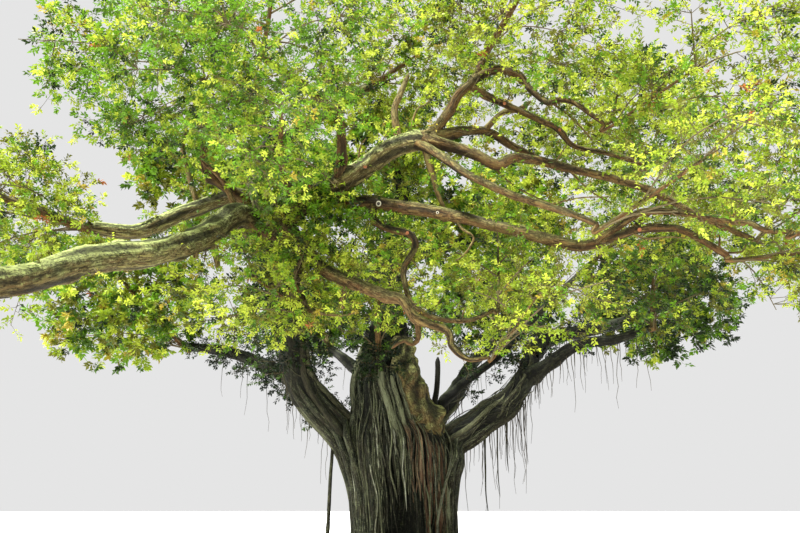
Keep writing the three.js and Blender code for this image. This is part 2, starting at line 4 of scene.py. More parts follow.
import bpy
import numpy as np
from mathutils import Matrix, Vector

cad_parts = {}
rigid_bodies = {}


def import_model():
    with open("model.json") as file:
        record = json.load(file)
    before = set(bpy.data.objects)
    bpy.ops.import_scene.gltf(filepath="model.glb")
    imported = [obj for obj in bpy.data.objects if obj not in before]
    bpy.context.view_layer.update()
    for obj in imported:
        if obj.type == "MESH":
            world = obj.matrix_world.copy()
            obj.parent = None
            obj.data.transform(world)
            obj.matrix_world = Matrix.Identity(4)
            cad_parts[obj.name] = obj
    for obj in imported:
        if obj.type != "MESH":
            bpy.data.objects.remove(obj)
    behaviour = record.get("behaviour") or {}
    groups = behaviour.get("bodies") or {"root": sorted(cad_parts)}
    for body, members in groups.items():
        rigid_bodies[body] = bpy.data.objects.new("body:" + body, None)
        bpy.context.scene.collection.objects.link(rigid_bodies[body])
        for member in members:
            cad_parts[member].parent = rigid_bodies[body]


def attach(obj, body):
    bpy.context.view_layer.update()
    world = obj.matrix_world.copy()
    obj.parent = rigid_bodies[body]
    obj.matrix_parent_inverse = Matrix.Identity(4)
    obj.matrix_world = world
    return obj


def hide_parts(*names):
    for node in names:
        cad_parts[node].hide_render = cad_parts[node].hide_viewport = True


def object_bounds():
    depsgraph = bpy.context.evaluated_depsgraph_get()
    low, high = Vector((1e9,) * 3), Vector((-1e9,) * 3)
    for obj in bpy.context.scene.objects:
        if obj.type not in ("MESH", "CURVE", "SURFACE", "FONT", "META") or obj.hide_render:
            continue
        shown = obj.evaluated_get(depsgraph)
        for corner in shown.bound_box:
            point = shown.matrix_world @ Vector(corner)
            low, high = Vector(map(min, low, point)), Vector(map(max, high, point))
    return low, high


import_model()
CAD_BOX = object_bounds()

bl_info = {
    "name": "Banyan tree",
    "version": (1, 0, 0),
    "blender": (4, 5, 0),
    "location": "3D view > Sidebar > Banyan",
    "description": "Bark, aerial roots, twigs and leaves of a wide banyan",
    "category": "Object",
}

# Metres, +Z up. The origin is the middle of the trunk's foot, at ground level.
BODY = "root"
UP = np.array((0.0, 0.0, 1.0))
SIDEWAYS = np.array((1.0, 0.0, 0.0))
# Climbs of a direction, as heights for a length of 1, beyond which UP is too close to it
STEEP = 0.8
VERY_STEEP = 0.9
GOLDEN_TURN = math.pi * (3 - math.sqrt(5))

# The trunk, station by station: height, half width, half depth and sideways shift of its middle
TRUNK_STATIONS = np.array((
    (0, 2.05, 2.0, 0.1), (0.3, 1.76, 1.72, 0.11), (0.8, 1.6, 1.56, 0.13), (2.0, 1.62, 1.54, 0.08),
    (3.0, 1.72, 1.58, 0), (3.7, 1.74, 1.56, -0.06), (4.4, 1.4, 1.3, -0.24), (5.7, 1.11, 1.06, -0.47),
    (7.0, 0.84, 0.8, -0.45),
))
LEANING_STEM = dict(
    course=(
        (0.1, -0.56, 6.9), (0.24, -0.9, 5.9), (0.5, -1.08, 5.1), (0.96, -0.96, 4.4), (1.28, -0.62, 3.8),
    ),
    thick=(0.64, 0.76),
)

# Each limb springs from a point along another limb (at, from 0 at its foot to 1 at its tip) or from
# a foot on the trunk. thick is its diameter at both ends. A run is a length, a heading (0 is +X,
# 90 is +Y) and a climb above level in degrees. crown is the mass of foliage at its tip: the mass's
# middle, its half spread and its half depth.
LIMBS = {
    "left_bough": dict(
        parent="trunk", foot=(-1.45, 0, 3.5), thick=(1.06, 0.76),
        runs=((2.5, -170, 47), (1.8, -110, 57), (2, -96, 46), (1.8, -98, 40)),
    ),
    "near_left": dict(
        parent="left_bough", at=0.86, thick=(0.7, 0.6),
        runs=((2.1, -116, 21), (1.9, -112, -36), (2.1, -117, -30), (2.1, -113, -22), (2.1, -108, -28),
              (1.3, -130, -8), (1.3, -152, 14)),
        crown=((-11, -12.5, 7.6), 3.4, 2.4),
    ),
    "far_left": dict(
        parent="left_bough", at=0.66, thick=(0.68, 0.4),
        runs=((1.9, -158, 70), (1.9, -176, 60), (1.6, -165, -20), (1.8, -160, -32), (1.5, -157, -4)),
        crown=((-12, -5, 9.6), 3.8, 2.8),
    ),
    "rising_left": dict(
        parent="far_left", at=0.36, thick=(0.34, 0.18),
        runs=((2.1, -118, 8), (1.6, -75, 22), (1.6, -59, 12)),
        crown=((-6.4, -7.2, 12.6), 3.8, 2.6),
    ),
    "high_centre": dict(
        parent="left_bough", at=0.95, thick=(0.58, 0.24),
        runs=((2.8, 140, 66), (1.7, -10, 50), (2.1, -10, 32), (1, -10, 27)),
        crown=((0.6, -3.6, 15.3), 3.8, 2.1),
    ),
    "main_front": dict(
        parent="left_bough", at=1, thick=(0.72, 0.5),
        runs=((1.5, -47, 20), (1.8, -34, 11), (1.5, -27, 23), (1, -23, 5)),
    ),
    "front_high": dict(
        parent="main_front", at=0.45, thick=(0.3, 0.16),
        runs=((1.9, -88, 32), (1.4, -122, 13), (1.5, -125, 3)),
        crown=((-2.9, -10.6, 12), 3.5, 2.4),
    ),
    "arch_limb": dict(
        parent="main_front", at=0.9, thick=(0.3, 0.24),
        runs=((0.6, -14, 28), (0.7, -11, 54), (0.5, -27, 55), (0.5, -27, 34), (0.6, -30, 62)),
        crown=((2.9, -10.2, 12.6), 3.2, 2.3),
    ),
    "arch_fall": dict(
        parent="arch_limb", at=0.8, thick=(0.25, 0.1),
        runs=((0.4, -12, 30), (0.4, -18, 4), (0.3, -11, -22), (0.3, 8, -25), (0.4, 3, -60),
              (0.6, -12, -48), (0.4, -29, -8), (0.4, -38, -31), (0.6, -34, -48), (0.5, -32, -50)),
        crown=((7.1, -10, 10.9), 3, 2.1),
    ),
    "arch_lower": dict(
        parent="arch_limb", at=0.74, thick=(0.2, 0.12),
        runs=((0.9, 20, -21), (1.1, 13, -20), (0.8, 28, -11), (0.7, 32, -31), (1.1, 23, 0),
              (1.3, 25, -4)),
        crown=((6.5, -4, 13.2), 3.5, 2.3),
    ),
    "twin_upper": dict(
        parent="main_front", at=1, thick=(0.3, 0.18),
        runs=((1, 18, 21), (0.9, 28, 13), (0.9, 28, -15), (1.1, 21, -17)),
    ),
    "long_right": dict(
        parent="main_front", at=0.97, thick=(0.34, 0.15),
        runs=((1.3, -16, -24), (0.8, 0, -27), (0.6, 0, 18), (1.5, 8, -9), (2, 12, -10), (1.8, 17, -20),
              (1.7, 18, -15)),
        crown=((11.4, -5.2, 9.8), 3.3, 2.4),
    ),
    "lower_right": dict(
        parent="main_front", at=0.88, thick=(0.26, 0.13),
        runs=((0.8, -40, -36), (0.8, -50, -42), (0.9, -47, -42), (1.5, -37, -35), (1.6, -37, -30),
              (0.6, -31, -33)),
        crown=((6.6, -11.2, 8.2), 2.5, 1.7),
    ),
    "wide_right": dict(
        parent="main_front", at=0.27, thick=(0.4, 0.15),
        runs=((1.9, -24, -11), (1.3, -20, -15), (1, -14, -15), (1.5, -15, -19), (1.6, -13, -20),
              (0.7, -21, -17), (0.8, -13, 12), (0.6, -4, 17), (0.9, -7, -1), (0.6, -2, -27),
              (0.8, -5, -37)),
        crown=((10.4, -8, 7.1), 2.3, 1.6),
    ),
    "right_tip": dict(
        parent="wide_right", at=0.58, thick=(0.2, 0.12),
        runs=((1, -15, 33), (0.4, -22, 21), (0.5, -23, -7), (0.6, -30, -19), (0.8, -23, -21),
              (0.5, -22, -14), (0.4, -26, -36), (0.5, -34, -14)),
        crown=((12.2, -10.6, 8.4), 2.6, 2),
    ),
    "drooping": dict(
        parent="main_front", at=0.1, thick=(0.4, 0.09),
        runs=((2, -54, -41), (1.3, -45, -43), (1.8, -26, -26), (0.6, -27, -22), (0.6, -23, -54),
              (0.8, -9, -25), (0.4, 5, -71), (0.5, -19, -40), (0.5, 1, 5)),
        crown=((3.3, -8.2, 6.1), 2.2, 1.3),
    ),
    "kinked": dict(
        parent="wide_right", at=0.114, thick=(0.22, 0.1),
        runs=((0.5, -106, -76), (0.5, -11, -40), (0.7, -24, -22), (0.4, -20, -66), (0.7, -152, -62),
              (0.5, -79, -75), (0.7, -46, -63), (0.7, -21, -33), (0.8, 9, -1), (0.7, 9, 24)),
        crown=((2.7, -5.5, 8), 2.7, 2.1),
    ),
    "hanging_left": dict(
        parent="drooping", at=0.1, thick=(0.24, 0.13),
        runs=((0.9, -120, -72), (0.7, -31, -75), (0.5, -18, -59)),
        crown=((-4, -6, 7), 2.6, 1.9),
    ),
    "trunk_front": dict(
        parent="trunk", foot=(-0.5, -0.6, 5.5), thick=(0.3, 0.24),
        runs=((0.9, -100, 40), (0.5, -100, 45)),
        crown=((-0.7, -3.4, 8.4), 2.4, 2.2),
    ),
    "centre_stem": dict(
        parent="trunk", foot=(-0.45, 0.05, 6.5), thick=(1.24, 0.72),
        runs=((2.5, 76, 85), (2.1, 44, 78)),
    ),
    "top_bough": dict(
        parent="centre_stem", at=1, thick=(0.7, 0.28),
        runs=((1.6, 57, 78), (1.4, 161, 77)),
        crown=((-0.8, 2.2, 15.2), 3.8, 2),
    ),
    "back_high_left": dict(
        parent="centre_stem", at=0.5, thick=(0.5, 0.24),
        runs=((2.9, 159, 34), (2.4, 175, 30)),
        crown=((-6.4, 0.6, 13), 4, 2.6),
    ),
    "back_high_right": dict(
        parent="centre_stem", at=0.7, thick=(0.5, 0.24),
        runs=((3.3, 46, 25), (2.2, 51, 23)),
        crown=((3.9, 4.8, 13.2), 4, 2.6),
    ),
    "back_bough": dict(
        parent="trunk", foot=(-0.3, 1.2, 3.7), thick=(0.84, 0.32),
        runs=((3, 102, 42), (2.8, 117, 29), (2.9, 118, 26)),
        crown=((-4.4, 9.6, 10.6), 4, 2.8),
    ),
    "back_left_bough": dict(
        parent="trunk", foot=(-1.3, 0.85, 3.3), thick=(0.76, 0.32),
        runs=((3.5, 146, 42), (3.4, 149, 27), (3, 155, 13)),
        crown=((-11, 3.4, 9.4), 4, 3),
    ),
    "back_right_bough": dict(
        parent="trunk", foot=(0.7, 1.05, 3.7), thick=(0.76, 0.32),
        runs=((3.4, 60, 36), (3, 68, 32), (3, 65, 24)),
        crown=((4.6, 10.4, 10.9), 4, 2.6),
    ),
    "right_bough": dict(
        parent="trunk", foot=(1.3, 0, 3.4), thick=(1, 0.6),
        runs=((1.8, 0, 33), (1, 7, 37), (1.1, 16, 50), (0.9, 55, 66)),
    ),
    "right_far": dict(
        parent="right_bough", at=1, thick=(0.56, 0.26),
        runs=((1.3, 33, 31), (2.3, 27, 15), (2.6, 24, 19), (2.3, 22, 23)),
        crown=((11, 5.8, 9.9), 3.9, 2.9),
    ),
    "right_near": dict(
        parent="right_bough", at=0.72, thick=(0.48, 0.24),
        runs=((1.1, -42, 22), (1.2, -47, 22), (1.3, -37, 1), (1.1, -34, 12)),
        crown=((7.9, -2.6, 8), 2.6, 1.8),
    ),
    "diagonal": dict(
        parent="trunk", foot=(0.7, 0.6, 4.3), thick=(0.36, 0.22),
        runs=((2.3, 28, 40), (1.9, 23, 37), (2.6, 13, 45), (2.9, 5, 43)),
        crown=((9.6, 0.4, 11.6), 3.6, 2.4),
    ),
    "front_low": dict(
        parent="main_front", at=0.24, thick=(0.22, 0.16),
        runs=((1.6, -98, 2), (1.5, -84, -6)),
        crown=((-2.5, -11, 9.1), 2.2, 1.7),
    ),
}

# Aerial roots that hang free, and one that has reached the ground beside the trunk
ROOTS = {
    "prop_root": dict(parent="left_bough", at=0.1, thick=(0.1, 0.14), sway=0.05, lean=(-0.1, -0.06)),
    "hanging_root_1": dict(parent="right_bough", at=0.24, thick=(0.09, 0.026), sway=0.05, length=2.4),
    "hanging_root_2": dict(parent="right_bough", at=0.35, thick=(0.07, 0.02), sway=0.07, length=2.1),
    "hanging_root_3": dict(parent="right_bough", at=0.47, thick=(0.08, 0.024), sway=0.06, length=1.6),
}
# How far a root comes straight out of its limb's underside, and the shares of its drop where it bends
ROOT_STUB = 0.12
ROOT_BENDS = (0.35, 0.7, 1)
ROOT_SEED = 401

# Foliage. A mass's stem leads on from its limb's tip and rises to its middle. Boughlets fork off it
# and arch over to places spread evenly round the mass's space. Twigs reach from the boughlets to
# places spread evenly through that space, and sprigs fork off them, each with its tuft of leaves.
# density times the mass's spread (its square for twigs) and its depth gives how many there are, and
# behind is the share of the twigs that masses on the far side have. fork and span are stretches of
# what carries them, reach is a share of the way to the mass's skin, arch and sway are shares of
# their own length, splay is an angle off what carries them, and flatten is a share of their climb.
STEM = dict(taper=0.6, least=0.06, lead=0.06, rise=0.25)
BOUGHLET = dict(density=1.25, fork=(0.97, 0.3), jitter=0.6, reach=(0.45, 0.97), arch=0.1, steps=6)
BOUGHLET_THICK = (0.055, 0.02)
TWIG = dict(density=5.6, behind=0.54, crowding=0.3, reach=0.93, arch=0.08, sway=0.12, steps=3)
TWIG_SPAN = (0.1, 1)
TWIG_PLACES = 12
TWIG_THICK = (0.02, 0.009)
SPRIGS_ON_A_TWIG = 9
SPRIG = dict(span=(0.2, 1.05), length=0.46, splay=(0.55, 1.25), flatten=0.75, lift=0.1, bow=0.1)
SPRIG_THICK = 0.009
# Leaves on a sprig, the stretch of it that they cover, how unevenly they tilt, and their sizes as
# shares of the usual one
LEAVES_ON_A_SPRIG = 11
LEAF_SPAN = (0.3, 1.02)
LEAF_TILT = 0.8
LEAF_SIZES = (0.7, 1.25)
# A leaf leans off its sprig by so much at the sprig's foot, and by so much less at its tip
LEAF_LEAN = (1.5, 0.9)
LEAN_VARIES = 0.25
LEAF_FLATTEN = 0.75
LEAF_DROOP = 0.05
# How far a leaf's tip falls as a share of its length, where it is widest, and how far its edges rise
# as a share of its width
LEAF_SHAPE = dict(fall=0.1, widest=0.5, rise=0.15)
# Share of the sprigs that take the colour of their twig, not one of their own
CLUMPED = 0.3
# Masses whose middle lies further back than this have fewer twigs, and leaves larger by this factor
FAR_SIDE = 0.5
FAR_LEAVES = 1.8
# Leaves that are nearer to the viewer than this are smaller
SMALLER_WITHIN = 22
# How far twigs and leaves stay from the bark of the limbs, which rows of points this close stand for.
# Limbs further off than this aren't looked at.
LIMB_CLEARANCE = 0.06
BONE_SPACING = 0.15
LIMBS_WITHIN = 1.0
# Steps that spread a run of places evenly through three dimensions
EVEN_STEPS = 1 / 1.2207440846 ** np.arange(1, 4)
FOLIAGE_SEED = 101
STEM_SEED = 301

# Points that a curve's length is summed over, and the step that gives its direction
LENGTH_POINTS = 200
SMALL_STEP = 1e-4

# The viewer: where they stand, how far they look up, and half the height and width of their view
# as a share of its depth, in cells of which this many span that depth
EYE = (0, -25, 1.6)
PITCH = math.radians(17.8)
VIEW_HALF = (0.36, 0.54)
VIEW_CELLS = 750

# Leafy shoots that spring from the limbs themselves
SHOOT = dict(splay=(0.7, 1.35), flatten=0.8, lift=0.06, bow=0.1)
SHOOT_PLACES = 60
# Shoots and sprigs: how long one is at the foot of what carries it, how much shorter at its tip, and
# their sizes, all as shares of the usual length
SHOOT_LENGTHS = (1.15, 0.5)
SHOOT_SIZES = (0.7, 1.15)
SHOOT_SEED = 201


def seeded(seed):
    """A stream of seeded numbers from 0 to 1, the same as the frame's source draws."""
    whole = 0xFFFFFFFF
    state = seed
    while True:
        state = (state + 0x6D2B79F5) & whole
        mixed = ((state ^ (state >> 15)) * (1 | state)) & whole
        mixed ^= (mixed + (((mixed ^ (mixed >> 7)) * (61 | mixed)) & whole)) & whole
        yield ((mixed ^ (mixed >> 14)) & whole) / (whole + 1)


def between(ends, share):
    """The value this share of the way from the first end to the second."""
    return ends[0] + (ends[1] - ends[0]) * share


def unit(vectors):
    """The vectors at a length of 1."""
    return vectors / np.maximum(np.linalg.norm(vectors, axis=-1, keepdims=True), 1e-9)


def smooth_step(low, high, value):
    """0 below low, 1 above high, and smooth between."""
    share = np.clip((value - low) / (high - low), 0, 1)
    return share * share * (3 - 2 * share)


def heading_vector(heading, climb):
    """The direction of a heading and a climb in degrees."""
    h, c = math.radians(heading), math.radians(climb)
    return np.array((math.cos(c) * math.cos(h), math.cos(c) * math.sin(h), math.sin(c)))


class Curve:
    """A smooth curve through points, bent as the frame's source bends it."""

    def __init__(self, points):
        self.points = np.array(points, float)

    def at(self, shares):
        p = self.points
        padded = np.vstack([2 * p[0] - p[1], p, 2 * p[-1] - p[-2]])
        place = np.clip(np.asarray(shares, float), 0, 1) * (len(p) - 1)
        i = np.minimum(place.astype(int), len(p) - 2)
        w = (place - i)[..., None]
        a, b, c, d = (padded[i + k] for k in range(4))
        rise, fall = (c - a) / 2, (d - b) / 2
        bend = 3 * (c - b) - 2 * rise - fall
        return b + rise * w + bend * w**2 + (2 * (b - c) + rise + fall) * w**3

    def along(self, shares):
        shares = np.asarray(shares, float)
        return unit(self.at(shares + SMALL_STEP) - self.at(shares - SMALL_STEP))

    def length(self):
        points = self.at(np.linspace(0, 1, LENGTH_POINTS))
        return float(np.linalg.norm(np.diff(points, axis=0), axis=1).sum())


class Limb:
    """A limb of the frame: its curve, its thickness and its crown."""

    def __init__(self, name, grown, parent, thick, runs, at=None, foot=None, crown=None):
        self.name, self.parent, self.thick, self.start, self.crown = name, parent, thick, at, crown
        points = [np.array(foot, float) if foot else grown[parent].curve.at(at)]
        for length, heading, climb in runs:
            points.append(points[-1] + heading_vector(heading, climb) * length)
        self.curve = Curve(points)
        self.length = self.curve.length()


class Mass:
    """A mass of foliage: its own space, and the stem that it grows from."""

    def __init__(self, limb):
        self.name = limb.name
        middle, self.spread, self.depth = limb.crown
        self.middle = np.array(middle, float)
        tip, along = limb.curve.at(1), limb.curve.along(1)
        far = np.linalg.norm(self.middle - tip)
        lead = tip + along * STEM["lead"] * far
        self.stem = Curve((tip, lead, self.middle + UP * STEM["rise"] * self.depth))
        self.thick = (limb.thick[1], max(limb.thick[1] * STEM["taper"], STEM["least"]))


def grown_limbs():
    """All the limbs by name, each grown from the one that carries it."""
    grown = {}
    for name, spec in LIMBS.items():
        grown[name] = Limb(name, grown, **spec)
    return grown


def root_curve(spec, index, limbs):
    """A root's course: out of the underside of its limb, then down with a slight sway."""
    stream = seeded(ROOT_SEED + index)
    limb = limbs[spec["parent"]]
    start, along = limb.curve.at(spec["at"]), limb.curve.along(spec["at"])
    stub = between(limb.thick, spec["at"]) / 2 / math.hypot(along[0], along[1]) + ROOT_STUB
    seat = start - UP * stub
    drop = spec.get("length", seat[2])
    lean = spec.get("lean", (0, 0))
    sway = (-spec["sway"], spec["sway"])
    course = [seat]
    for share in ROOT_BENDS:
        x = seat[0] + lean[0] * share + between(sway, next(stream))
        y = seat[1] + lean[1] * share + between(sway, next(stream))
        course.append((x, y, seat[2] - drop * share))
    return Curve([start, *course])


def bones(curve, thick):
    """Points along a limb with the radius there, as rows of x, y, z and radius."""
    shares = np.linspace(0, 1, int(curve.length() / BONE_SPACING) + 2)
    return np.column_stack([curve.at(shares), between(thick, shares) / 2])


def in_space(points, mass):
    """Which points lie in the mass's oval, and in the frame's box."""
    away = points - mass.middle
    flat = np.hypot(away[..., 0], away[..., 1]) / mass.spread
    return (flat**2 + (away[..., 2] / mass.depth) ** 2 <= 1) & in_box(points)


def in_box(points):
    """Which points lie inside the frame's box."""
    low, high = (np.array(corner) for corner in CAD_BOX)
    return (points > low).all(-1) & (points < high).all(-1)


def clear_of_limbs(points, skeleton):
    """Which points are clear of every limb. Only the limbs near the points are looked at."""
    low, high = points.min(0) - LIMBS_WITHIN, points.max(0) + LIMBS_WITHIN
    near = skeleton[((skeleton[:, :3] > low) & (skeleton[:, :3] < high)).all(1)]
    kept = np.ones(len(points), bool)
    for bone in near:
        kept &= ((points - bone[:3]) ** 2).sum(1) > (bone[3] + LIMB_CLEARANCE) ** 2
    return kept


# Seeded roughness, smooth in one and in two directions
def smooth_noise(rng, places, spacing):
    """Smooth noise from -1 to 1 along a line, with one turn about every spacing."""
    cells = places / spacing
    first = int(np.floor(cells.min()))
    knots = rng.uniform(-1, 1, int(np.ceil(cells.max())) - first + 3)
    i = np.floor(cells).astype(int)
    w = smooth_step(0, 1, cells - i)
    return knots[i - first] * (1 - w) + knots[i - first + 1] * w


def sheet_noise(rng, turns, places, around, spacing):
    """Smooth noise from -1 to 1 over turns (0 to 1 round a limb) and places along it."""
    cells = places / spacing
    rows = int(np.ceil(cells.max())) + 2
    knots = rng.uniform(-1, 1, (rows, around))
    i, j = np.floor(cells).astype(int)[:, None], np.floor(turns * around).astype(int)[None, :]
    u = smooth_step(0, 1, (turns * around)[None, :] - j)
    v = smooth_step(0, 1, cells[:, None] - i)
    low = knots[i, j % around] * (1 - u) + knots[i, (j + 1) % around] * u
    high = knots[i + 1, j % around] * (1 - u) + knots[i + 1, (j + 1) % around] * u
    return low * (1 - v) + high * v


# Meshes from arrays. Each root's bark is drawn from its own place in the pattern, up to this far off.
GRAIN_DRIFT = 40


class Shape:
    """Vertices and four-sided faces, with the grain's direction and how much painted shade each takes in a
    cleft.
    """

    def __init__(self, places, faces, grain, hollow):
        self.places, self.faces, self.grain, self.hollow = places, faces, grain, hollow


def joined(shapes):
    """One shape of many."""
    offsets = np.cumsum([0] + [len(shape.places) for shape in shapes[:-1]])
    faces = [shape.faces + offset for shape, offset in zip(shapes, offsets)]
    return Shape(
        np.concatenate([shape.places for shape in shapes]),
        np.concatenate(faces),
        np.concatenate([shape.grain for shape in shapes]),
        np.concatenate([shape.hollow for shape in shapes]),
    )


def mesh_of(name, places, faces):
    """A mesh of these vertices and of faces that all have as many corners."""
    mesh = bpy.data.meshes.new(name)
    mesh.vertices.add(len(places))
    mesh.vertices.foreach_set("co", np.asarray(places, np.float32).ravel())
    mesh.loops.add(faces.size)
    mesh.loops.foreach_set("vertex_index", faces.ravel().astype(np.int32))
    mesh.polygons.add(len(faces))
    starts = np.arange(0, faces.size, faces.shape[1], dtype=np.int32)
    mesh.polygons.foreach_set("loop_start", starts)
    mesh.update(calc_edges=True)
    return mesh


def piece_of(name, mesh, materials, nodes):
    """Puts a mesh in the scene as a piece that stands for these nodes of the frame."""
    piece = bpy.data.objects.new(name, mesh)
    bpy.context.scene.collection.objects.link(piece)
    for material in materials:
        mesh.materials.append(material)
    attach(piece, BODY)
    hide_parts(*nodes)
    return piece


def bark_piece(name, shape, material, nodes):
    """A smooth piece that carries the grain, and the painted shade of the clefts, for its finish."""
    mesh = mesh_of(name, shape.places, shape.faces)
    mesh.polygons.foreach_set("use_smooth", np.ones(len(shape.faces), bool))
    grain = mesh.attributes.new("grain", "FLOAT_VECTOR", "POINT")
    grain.data.foreach_set("vector", shape.grain.astype(np.float32).ravel())
    hollow = mesh.attributes.new("hollow", "FLOAT", "POINT")
    hollow.data.foreach_set("value", shape.hollow.astype(np.float32))
    return piece_of(name, mesh, [material], nodes)


def ring_faces(rings, sides):
    """The faces between rings of vertices, each ring closed on itself."""
    ring, side = np.meshgrid(np.arange(rings - 1), np.arange(sides), indexing="ij")
    onward = (side + 1) % sides
    here, next_ring = ring * sides, (ring + 1) * sides
    corners = (here + side, here + onward, next_ring + onward, next_ring + side)
    return np.stack(corners, -1).reshape(-1, 4)


def carried_frames(curve, shares):
    """Points, directions and two cross directions along a curve, carried along it without twist."""
    points, along = curve.at(shares), curve.along(shares)
    side = np.empty_like(points)
    guess = SIDEWAYS if abs(along[0, 2]) > STEEP else UP
    for i, direction in enumerate(along):
        side[i] = unit(guess - direction * (guess @ direction))
        guess = side[i]
    return points, along, side, np.cross(along, side)


class Tube:
    """A bark-covered tube along a curve, finely ringed, whose radius is worked out as an array.

    Its places are metres along it and its turns go from 0 to 1 round it.
    """

    def __init__(self, curve, thick, sides, spacing):
        self.length = curve.length()
        rings = max(int(self.length / spacing), 4) + 1
        self.shares = np.linspace(0, 1, rings)
        self.points, self.along, self.side, self.across = carried_frames(curve, self.shares)
        steps = np.linalg.norm(np.diff(self.points, axis=0), axis=1)
        self.places = np.concatenate([[0], np.cumsum(steps)])
        self.turns = np.arange(sides) / sides
        self.angles = self.turns * 2 * math.pi
        self.plain = (between(thick, self.shares) / 2)[:, None] * np.ones(sides)
        self.radius = self.plain.copy()
        self.hollow = np.zeros_like(self.radius)
        self.drift = np.zeros(3)

    def taper_start(self, length, least):
        """Thins the foot over its first length, down to a share of its thickness."""
        self.radius *= between((least, 1), np.clip(self.places / length, 0, 1))[:, None]

    def taper_tip(self, length, least):
        """Rounds the tip off over its last length, down to a share of its thickness."""
        left = (self.places[-1] - self.places) / length
        self.radius *= np.clip(np.sqrt(np.clip(left, 0, 1)), least, 1)[:, None]

    def drift_grain(self, rng):
        """Gives the tube a stretch of bark of its own."""
        self.drift = rng.uniform(0, GRAIN_DRIFT, 3)

    def standing_shape(self):
        """The shape, cut off at ground level."""
        shape = self.shape()
        shape.places[:, 2] = np.maximum(shape.places[:, 2], 0)
        return shape

    def shape(self):
        cos, sin = np.cos(self.angles)[None, :, None], np.sin(self.angles)[None, :, None]
        outward = self.side[:, None] * cos + self.across[:, None] * sin
        places = self.points[:, None] + outward * self.radius[..., None]
        width = self.plain
        grain = np.stack(
            [cos[..., 0] * width, sin[..., 0] * width, self.places[:, None] * np.ones_like(width)], -1
        )
        faces = ring_faces(len(self.shares), len(self.angles))
        return Shape(places.reshape(-1, 3), faces, grain.reshape(-1, 3) + self.drift, self.hollow.ravel())


def turned_away(angles, centre):
    """How far angles are turned away from a centre, from minus to plus half a turn."""
    turned = angles - centre
    return np.arctan2(np.sin(turned), np.cos(turned))


# Cords: how unevenly they stand round a tube, their heights and widths as shares, how wide one is
# times their number, and how far the tube is thinned for them
CORD = dict(uneven=0.6, heights=(0.65, 0.35), widths=(0.7, 1.25), wide=2.4, thinned=0.45)
# Knots: their reaches and heights as shares, and how much longer they are than wide
KNOT = dict(reaches=(0.6, 1.4), heights=(0.4, 1), drawn=1.4)


def add_cords(tube, rng, count, height, twist, wander=0.5, spacing=1.6):
    """Raises cords that run lengthwise round a tube and wander over it."""
    total = np.zeros_like(tube.radius)
    for k in range(count):
        centre = 2 * math.pi * (k + CORD["uneven"] * rng.uniform()) / count + twist * tube.places
        centre = centre + wander * smooth_noise(rng, tube.places, spacing)
        usual, more = CORD["heights"]
        tall = height * (usual + more * smooth_noise(rng, tube.places, spacing))
        width = CORD["wide"] / count * rng.uniform(*CORD["widths"])
        away = turned_away(tube.angles[None, :], centre[:, None]) / width
        total = np.maximum(total, tall[:, None] * np.exp(-(away**2)))
    tube.radius *= 1 - height * CORD["thinned"] + total
    # Painted shade: the grooves between the cords are marked to be painted dark.
    tube.hollow = np.maximum(tube.hollow, 1 - total / max(height, 1e-6))


def add_lumps(tube, rng, depth, around, spacing):
    """Makes a tube uneven, with so many lumps round it and one about every spacing along it."""
    tube.radius *= 1 + depth * sheet_noise(rng, tube.turns, tube.places, around, spacing)


def add_knots(tube, rng, count, height, size):
    """Raises round knots here and there on a tube. Size is a knot's reach in metres."""
    for _ in range(count):
        place, angle = tube.length * rng.uniform(), 2 * math.pi * rng.uniform()
        reach = size * rng.uniform(*KNOT["reaches"])
        across = turned_away(tube.angles, angle)[None, :] * tube.plain / reach
        along = (tube.places - place)[:, None] / (reach * KNOT["drawn"])
        tube.radius *= 1 + height * rng.uniform(*KNOT["heights"]) * np.exp(-(across**2) - along**2)


def add_flare(tube, hidden, gain, length):
    """Widens a limb where it leaves its parent, just outside the parent's skin."""
    beyond = np.maximum(tube.places - hidden, 0)
    tube.radius *= (1 + gain * np.exp(-beyond / length))[:, None]


# Finishes
class Value:
    """A socket of a shader node that takes part in sums."""

    def __init__(self, finish, socket):
        self.finish, self.socket = finish, socket

    def _sum(self, operation, *terms):
        return self.finish.node("Math", {"operation": operation}, dict(enumerate(terms)))

    def __add__(self, other):
        return self._sum("ADD", self, other)

    __radd__ = __add__

    def __sub__(self, other):
        return self._sum("SUBTRACT", self, other)

    def __rsub__(self, other):
        return self._sum("SUBTRACT", other, self)

    def __mul__(self, other):
        return self._sum("MULTIPLY", self, other)

    __rmul__ = __mul__

    def __pow__(self, other):
        return self._sum("POWER", self, other)


